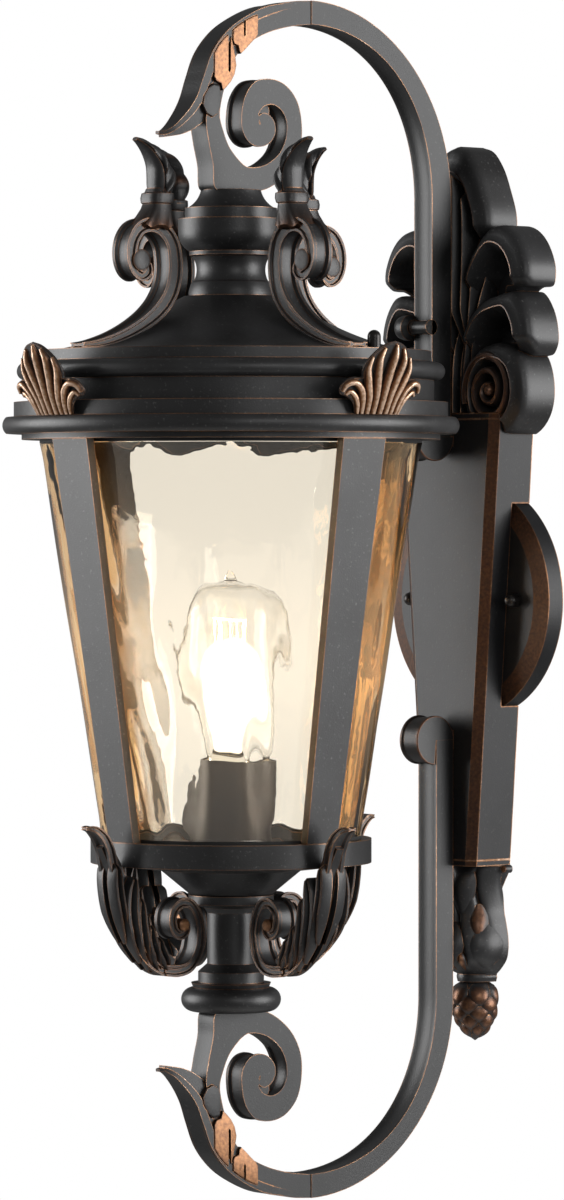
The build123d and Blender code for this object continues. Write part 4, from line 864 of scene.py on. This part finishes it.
wallPalmette = {
    "wide": 0.895, "deep": 1.38,    # drawn wide and shallow, then scaled by these
    # each lobe's outline of (across, height), its middle and how far its foot sinks; heights are from the
    # frame's origin
    "top": ([(0, 234), (9, 231.4), (17, 223.8), (24, 211), (29.3, 195.6), (27, 180), (20, 160), (10, 146),
             (0, 142)], (0, 190)),
    "sides": [([(24, 187), (31, 191.4), (43, 191.2), (51.5, 186.8), (58.8, 178), (62, 168.5), (60.5, 161.5),
                (51, 160), (40, 153), (28, 146), (16, 142), (7, 147), (7, 160), (14, 176)], (30, 163), 0.6),
              ([(40, 157.4), (51.5, 157.6), (59.5, 149.8), (63.5, 140), (63.8, 131.5), (60, 126),
                (54.5, 125), (44, 122), (30, 116), (14, 112), (6, 118), (6, 132), (14, 146), (26, 154)],
               (31, 133), 0.6),
              ([(46, 130.6), (54.5, 125), (59.8, 114), (60.4, 104), (57.5, 95.5), (51, 88.5), (42, 84.4),
                (30, 84.4), (18, 86), (11, 96), (9, 108), (12, 120), (20, 128), (34, 132)], (33.4, 107.6),
               0.0)],
    # share of the way from a lobe's middle to its outline, level and rub
    "shell": [(0, 4.5, 0), (0.16, 4.6, 0), (0.3, 5.4, 0), (0.42, 7.4, 0), (0.52, 10.4, 0), (0.6, 13.8, 0),
              (0.66, 16.5, 0.03), (0.7, 17.8, 0.15), (0.722, 17.8, 0.15), (0.76, 17.0, 0.02),
              (0.84, 16.3, 0), (0.92, 15.6, 0), (0.965, 14.7, 0), (0.99, 13.2, 0), (1, 11.6, 0.03),
              (1, 0, 0), (0, 0, 0)],
    "scroll": {"centre": (32.2, 107.8), "radii": (20.5, 20.2), "turns": 2.35, "start": 200.0,
               "width": (7.6, 3.4), "floor": 11.5, "top": 18.0},
    # flutes of the middle petal, and the stalk that sweeps down round the scroll: (across, height, width)
    "petal": [[(0, 132, 2), (0, 160, 5.2), (0, 196, 7), (0, 214, 6.2), (0, 222, 3.4)],
              [(6.2, 118, 1.6), (7.4, 150, 4.0), (8.8, 184, 5.6), (8.4, 202, 5.2), (7.2, 211, 2.8)]],
    "stalk": [[(13.4, 186, 2.2), (13.8, 164, 4.4), (11.0, 138, 4.6), (8.0, 116, 4.6), (8.4, 104, 4.4),
               (12, 97, 4.0)],
              [(19.5, 170, 2.0), (18.8, 152, 3.6), (15.4, 136, 3.8), (12.4, 122, 3.6), (11.6, 108, 3.6),
               (15, 98, 3.4)],
              [(3.4, 150, 1.2), (3.6, 128, 3.2), (3.4, 108, 3.6), (3.6, 96.6, 3.6)]],
    # each lobe's back has its own level, so that no two of them lie in one plane
    "topBack": 0.45, "sideBacks": (0.3, 0.15, 0.0), "backingBack": 0.6,
    "gap": 0.2,                 # mm left to the spine
    "backing": [(0, 205), (18, 190), (42, 170), (46, 140), (42, 108), (38, 92), (0, 92)],
}


# A lobe like a shell: rings shrink from its outline to its middle, and each ring has its own level. Rings
# below the middle sink, so that the lobe under it lies on top.
def shellLobe(look, outline, middle, sink, back, count=110):
    loop = np.array(outline + outline[:1], float)
    line = smoothLine(loop, count + 1)[:-1]
    rings = np.array(look["shell"], float)
    middle = np.array(middle, float)
    flat = middle + (line[None] - middle) * rings[:, None, 0:1]
    fall = np.clip((middle[1] + 2 - flat[..., 1]) / 14, 0, 1)
    level = np.maximum(rings[:, None, 1] * (1 - sink * fall), back)
    rub = rings[:, None, 2] * (1 - fall * (sink > 0))
    return gridOf(flat[..., 0], flat[..., 1], level), rub, True, False


# A ridge that winds inwards: its radius falls evenly with the angle
def windingRidge(look, side):
    share = np.linspace(0, 1, 140)
    turn = np.radians(look["start"]) - share * look["turns"] * 2 * np.pi
    size = 1 - 0.86 * share ** 0.9
    x = look["centre"][0] + look["radii"][0] * size * np.cos(turn)
    y = look["centre"][1] + look["radii"][1] * size * np.sin(turn)
    wide = look["width"][0] + (look["width"][1] - look["width"][0]) * share
    path = gridOf(side * x, y, wide)
    section = [(-1, 0, 0.03), (-0.85, 0.55, 0.1), (-0.45, 0.92, 0.24), (0, 1, 0.36), (0.45, 0.92, 0.24),
               (0.85, 0.55, 0.1), (1, 0, 0.03)]
    return blade(path, 220, section, look["floor"], look["top"])


def makeWallPalmette(look):
    spineTop = float(span("spine_top_plate")[1][2])
    spineSide = float(span("spine_top_plate")[1][0])
    right, middle = look["top"]
    loop = right + mirrorX(right)[::-1][1:-1]
    patches = [shellLobe(look, loop, middle, 0.6, look["topBack"], 160)]
    for (outline, middle, sink), back in zip(look["sides"], look["sideBacks"]):
        patches.append(shellLobe(look, outline, middle, sink, back))
        patches.append(shellLobe(look, mirrorX(outline), (-middle[0], middle[1]), sink, back))
    for side in (-1, 1):
        patches.append(windingRidge(look["scroll"], side))
        x, y = look["scroll"]["centre"]
        patches.append(button(side * x, y, 3.2, [(1, 10, 0.3), (0.9, 16.8, 0.4), (0.5, 17.8, 0.45)], 24))
    petalSection = [(-1, 0, 0), (-0.7, 0.6, 0.02), (-0.3, 0.95, 0.05), (0, 1, 0.08), (0.3, 0.95, 0.05),
                    (0.7, 0.6, 0.02), (1, 0, 0)]
    middlePath, sidePath = look["petal"]
    for path in (middlePath, sidePath, mirrorX(sidePath)):
        patches.append(blade(path, 40, petalSection, 4.0, 16.4))
    for path in look["stalk"]:
        for line in (path, mirrorX(path)):
            patches.append(blade(line, 60, petalSection, 4.0, 15.0))
    patches.append(plate(look["backing"], look["backingBack"], 5.0))

    # nothing of it stands in the spine
    def placePalmette(points):
        points = points * [look["wide"], 1, look["deep"]]
        over = np.abs(points[..., 0]) < spineSide + look["gap"]
        points[..., 1] = np.where(over, np.maximum(points[..., 1], spineTop + look["gap"]), points[..., 1])
        return onWall(points)

    makePiece("shellPalmette", patches, cast, ["wall_palmette"], placePalmette)


makeWallPalmette(wallPalmette)
print("wall palmette made")

footLeaf = {
    # height, half width, depth from the wall
    "rows": [(-137.2, 21.0, 19.6), (-141, 19.6, 21.8), (-147, 17.6, 23.4), (-154, 16.4, 23.2),
             (-161, 16.2, 22.8), (-168, 17.8, 25), (-175, 19.2, 26.8), (-181, 19.2, 26.9),
             (-186.5, 17.6, 25.4), (-190.5, 14.2, 21), (-193, 11.4, 17.4), (-193.6, 10.6, 15.7),
             (-194.4, 10.2, 15.7), (-195.4, 10.6, 15.8), (-196.4, 10.2, 15.7), (-197.9, 9.8, 15.4)],
    "folds": 0.16,              # share of the width that the folds take
    "foldCount": 2.1, "foldWind": 1.1,
    "round": 0.8,               # under 1 squares its front
    "petalBulge": 0.10, "petalSunk": 0.03, "petalBack": 0.86,   # shares of the casting's size
    # petals on each side: (angle round from the right wall in degrees, top, foot, half width in degrees,
    # rub)
    "petals": [(36, -157, -175, 16, 0.42), (66, -137.5, -164, 24, 0.02), (26, -166, -193, 26, 0.02),
               (80, -166, -193, 22, 0.02), (62, -182, -192.5, 7, 0.55), (84, -182, -192.5, 7, 0.45)],
    # the lip rolls over at each side of its top: across, height and radius of the roll
    "lip": (21.4, -138.9, 2.1),
}


# A casting that is round in front and flat on the wall: half ellipses stacked down its height, with folds
# that wind round it, deepest in the middle of its height
def foldedLeaf(look, rows=90, around=120):
    line = smoothLine([(z, 0, a, b) for z, a, b in look["rows"]], rows)
    z, wide, deep = line[:, 0:1], line[:, 2:3], line[:, 3:4]
    turn = np.linspace(0, np.pi, around)[None, :]
    share = (line[0, 0] - z) / (line[0, 0] - line[-1, 0])
    mirror = np.abs(turn - np.pi / 2) / (np.pi / 2)               # 0 in front, 1 at the wall
    fold = np.abs(np.sin(np.pi * (look["foldCount"] * mirror - look["foldWind"] * share + 0.12)))
    crease = (1 - fold) ** 3 * np.clip(np.minimum(share * 8, (0.88 - share) * 8), 0, 1)
    size = 1 - look["folds"] * crease
    x = wide * np.cos(turn) * size
    level = np.maximum(deep * np.sin(turn) ** look["round"] * size, 0)
    return gridOf(x, z, level), np.clip(crease * 0.1, 0, 1), True, True


# A pointed petal wrapped on that casting: widest in its middle and bulged out from it
def wrappedPetal(look, angle, top, foot, half, rub, rows=26, across=13):
    line = smoothLine([(z, 0, a, b) for z, a, b in look["rows"]], 200)
    share = np.linspace(0, 1, rows)[:, None]
    side = np.linspace(-1, 1, across)[None, :]
    z = top + (foot - top) * share
    wide = np.interp(-z, -line[:, 0], line[:, 2])
    deep = np.interp(-z, -line[:, 0], line[:, 3])
    width = np.sin(np.pi * np.clip(share, 0.01, 0.99) ** 0.8) ** 0.8
    turn = np.radians(angle + half * side * width)
    lift = 1 + (look["petalBulge"] * (1 - side ** 2) * np.sin(np.pi * share) - look["petalSunk"])
    front, back = [gridOf(wide * np.cos(turn) * size, z, deep * np.sin(turn) ** look["round"] * size)
                   for size in (lift, look["petalBack"])]
    crown = (1 - side ** 2) + 0 * share
    return closed(front, back), rub * closed(crown, 0 * crown), True, True


def makeFootLeaf(look):
    patches = [foldedLeaf(look)]
    for angle, top, foot, half, rub in look["petals"]:
        for turn in {angle, 180 - angle}:
            patches.append(wrappedPetal(look, turn, top, foot, half, rub))
    x, y, radius = look["lip"]
    for side in (-1, 1):
        patches.append(button(side * x, y, radius, [(0.7, 0.4, 0), (1, 1, 0), (1, 4.4, 0.1), (0.8, 5.8, 0.5),
                                                    (0.3, 6.4, 0.6)], 20))
    makePiece("foldedFootLeaf", patches, cast, ["spine_foot_leaf"], onWall)


makeFootLeaf(footLeaf)

pinecone = {
    # radius and height of the bud, from its neck to its tip
    "outline": [(8.2, -198.2), (11.0, -200.5), (12.0, -205), (11.9, -211), (10.2, -217), (7.4, -222),
                (4, -226.2), (0.4, -229.2)],
    "rows": 5, "around": 6,
    "axis": 6.0,                # from the wall, mm
    "top": -198.6, "step": 5.2,             # height of the first ring of scales, and between rings
    "scaleLong": 12.4, "shorter": 1.1,      # a scale's length, and how much shorter each ring's are
    "bulge": 1.9, "sunk": 0.5, "scaleBack": 1.6, "lap": 1.06, "core": 0.8,
    "pin": (3.0, -198.4, -190.3),           # radius, foot and top
}


# Scales in staggered rings: each is a drop, pointed downwards and bulged out, that wraps the bud
def makePinecone(look):
    line = smoothLine(look["outline"], 120)
    radius, height = line[::4, 0:1], line[::4, 1:2]

    def placeBud(grid):
        angle, size, up = np.moveaxis(grid, -1, 0)
        y = np.minimum(-look["axis"] - size * np.cos(angle), 0)
        return gridOf(size * np.sin(angle), y, up)

    patches = [(gridOf(fullTurn(48), radius - look["core"], height), 0.0, True, True)]
    share = np.linspace(0, 1, 12)[:, None]
    side = np.linspace(-1, 1, 9)[None, :]
    for row in range(look["rows"]):
        top = look["top"] - look["step"] * row
        long = look["scaleLong"] - look["shorter"] * row
        z = top - long * share
        base = np.interp(-z, -line[:, 1], line[:, 0])
        width = np.sin(np.pi * np.clip(0.12 + 0.86 * share, 0, 1) ** 0.9) ** 0.75
        dome = (1 - side ** 2) ** 0.6 * np.sin(np.pi * share ** 1.3) ** 0.8
        out = base + look["bulge"] * dome - look["sunk"]
        rub = np.clip(0.5 * (1 - side ** 2) * np.sin(np.pi * share), 0, 1)
        for column in range(look["around"]):
            middle = 2 * np.pi * (column + 0.5 * (row % 2)) / look["around"]
            angle = middle + side * width * np.pi / look["around"] * look["lap"]
            front, back = gridOf(angle, out, z), gridOf(angle, base - look["scaleBack"], z)
            patches.append((closed(front, back), closed(rub, 0 * rub), True, True))
    radius, foot, head = look["pin"]
    points, rub, wrap, caps = button(0, 0, radius, [(1, foot, 0), (1, head, 0)], 24)
    x, y, z = np.moveaxis(points, -1, 0)
    patches.append((gridOf(np.arctan2(x, -y), np.hypot(x, y), z), 0.0, wrap, caps))
    makePiece("pineconeBud", patches, cast, ["pinecone_finial"], placeBud, sharp=50)


makePinecone(pinecone)
print("foot made")

view = {
    "azimuth": 50.0,            # degrees round from the front, towards the lantern's right
    "distance": 2.9,            # metres from the lantern's axis
    "height": 0.04375,
    "aside": 0.0255,            # the aim passes this far to the right of the axis
    "aimHeight": 0.00125,
    "frameHeight": 0.6,         # metres seen at the axis
}


def addCamera():
    turn = radians(view["azimuth"])
    right = Vector((cos(turn), sin(turn), 0))
    back = Vector((sin(turn), -cos(turn), 0))
    axis = Vector((0, -reach / 1000, 0)) + right * view["aside"]
    data = bpy.data.cameras.new("camera")
    data.sensor_width = 24
    data.lens = data.sensor_width / view["frameHeight"] * view["distance"]
    camera = newObject("camera", data)
    camera.location = axis + back * view["distance"] + Vector((0, 0, view["height"]))
    aim = axis + Vector((0, 0, view["aimHeight"]))
    camera.rotation_mode = "QUATERNION"
    camera.rotation_quaternion = (aim - camera.location).to_track_quat("-Z", "Y")
    bpy.context.scene.camera = camera


addCamera()

lamps = [
    # azimuth, elevation, distance and size in metres, power in watts, colour
    ("leftPanel", -52, 6, 2.2, 1.7, 48, "#ffffff"),
    ("rightPanel", 128, 6, 2.2, 1.7, 54, "#ffffff"),
    ("frontPanel", 70, 15, 2.6, 1.0, 9, "#ffffff"),
]


def addLamps():
    for name, azimuth, elevation, distance, size, watts, code in lamps:
        data = bpy.data.lights.new(name, "AREA")
        data.shape = "DISK"
        data.size = size
        data.energy = watts
        data.color = colour(code)[:3]
        turn, lift = radians(azimuth), radians(elevation)
        back = Vector((sin(turn) * cos(lift), -cos(turn) * cos(lift), sin(lift)))
        panel = newObject(name, data)
        panel.location = Vector((0, -reach / 1000, 0)) + back * distance
        panel.rotation_euler = back.to_track_quat("Z", "Y").to_euler()
    data = bpy.data.lights.new("lampLight", "POINT")     # the lit lamp's own warm light
    data.shadow_soft_size = 0.012
    data.energy = 0.9
    data.color = colour("#ffca8a")[:3]
    newObject("lampLight", data).location = (0, -reach / 1000, -0.03)


addLamps()


# White to the camera and through glass, and a plain soft level on the object
def addBackdrop():
    world = bpy.data.worlds.new("studio")
    bpy.context.scene.world = world
    world.use_nodes = True
    world.node_tree.nodes.clear()
    add = partial(addNode, world)
    path = add("LightPath")
    seen = add("Math", {0: path.outputs["Is Camera Ray"], 1: path.outputs["Is Transmission Ray"]},
               operation="MAXIMUM")
    dim = add("Background", {"Color": colour("#ffffff"), "Strength": 0.19})
    white = add("Background", {"Color": colour("#ffffff"), "Strength": 1.0})
    both = add("MixShader", {0: seen, 1: dim, 2: white})
    add("OutputWorld", {"Surface": both})


addBackdrop()


# A round pale floor well under the lantern
def addFloor():
    drop, size = -1.6, 1.4
    turn = fullTurn(64)
    edge = gridOf(size * np.cos(turn), -reach / 1000 + size * np.sin(turn), drop)
    mesh = bpy.data.meshes.new("floor")
    mesh.from_pydata(edge.tolist(), [], [list(range(64))])
    floor = newObject("floor", mesh)
    paper, add = newMaterial("whitePaper")
    tone = add("BsdfPrincipled", {"Base Color": colour("#e9e8e6"), "Roughness": 0.9})
    add("OutputMaterial", {"Surface": tone})
    mesh.materials.append(paper)


addFloor()
bpy.context.scene.view_settings.view_transform = "Standard"
print("studio set")
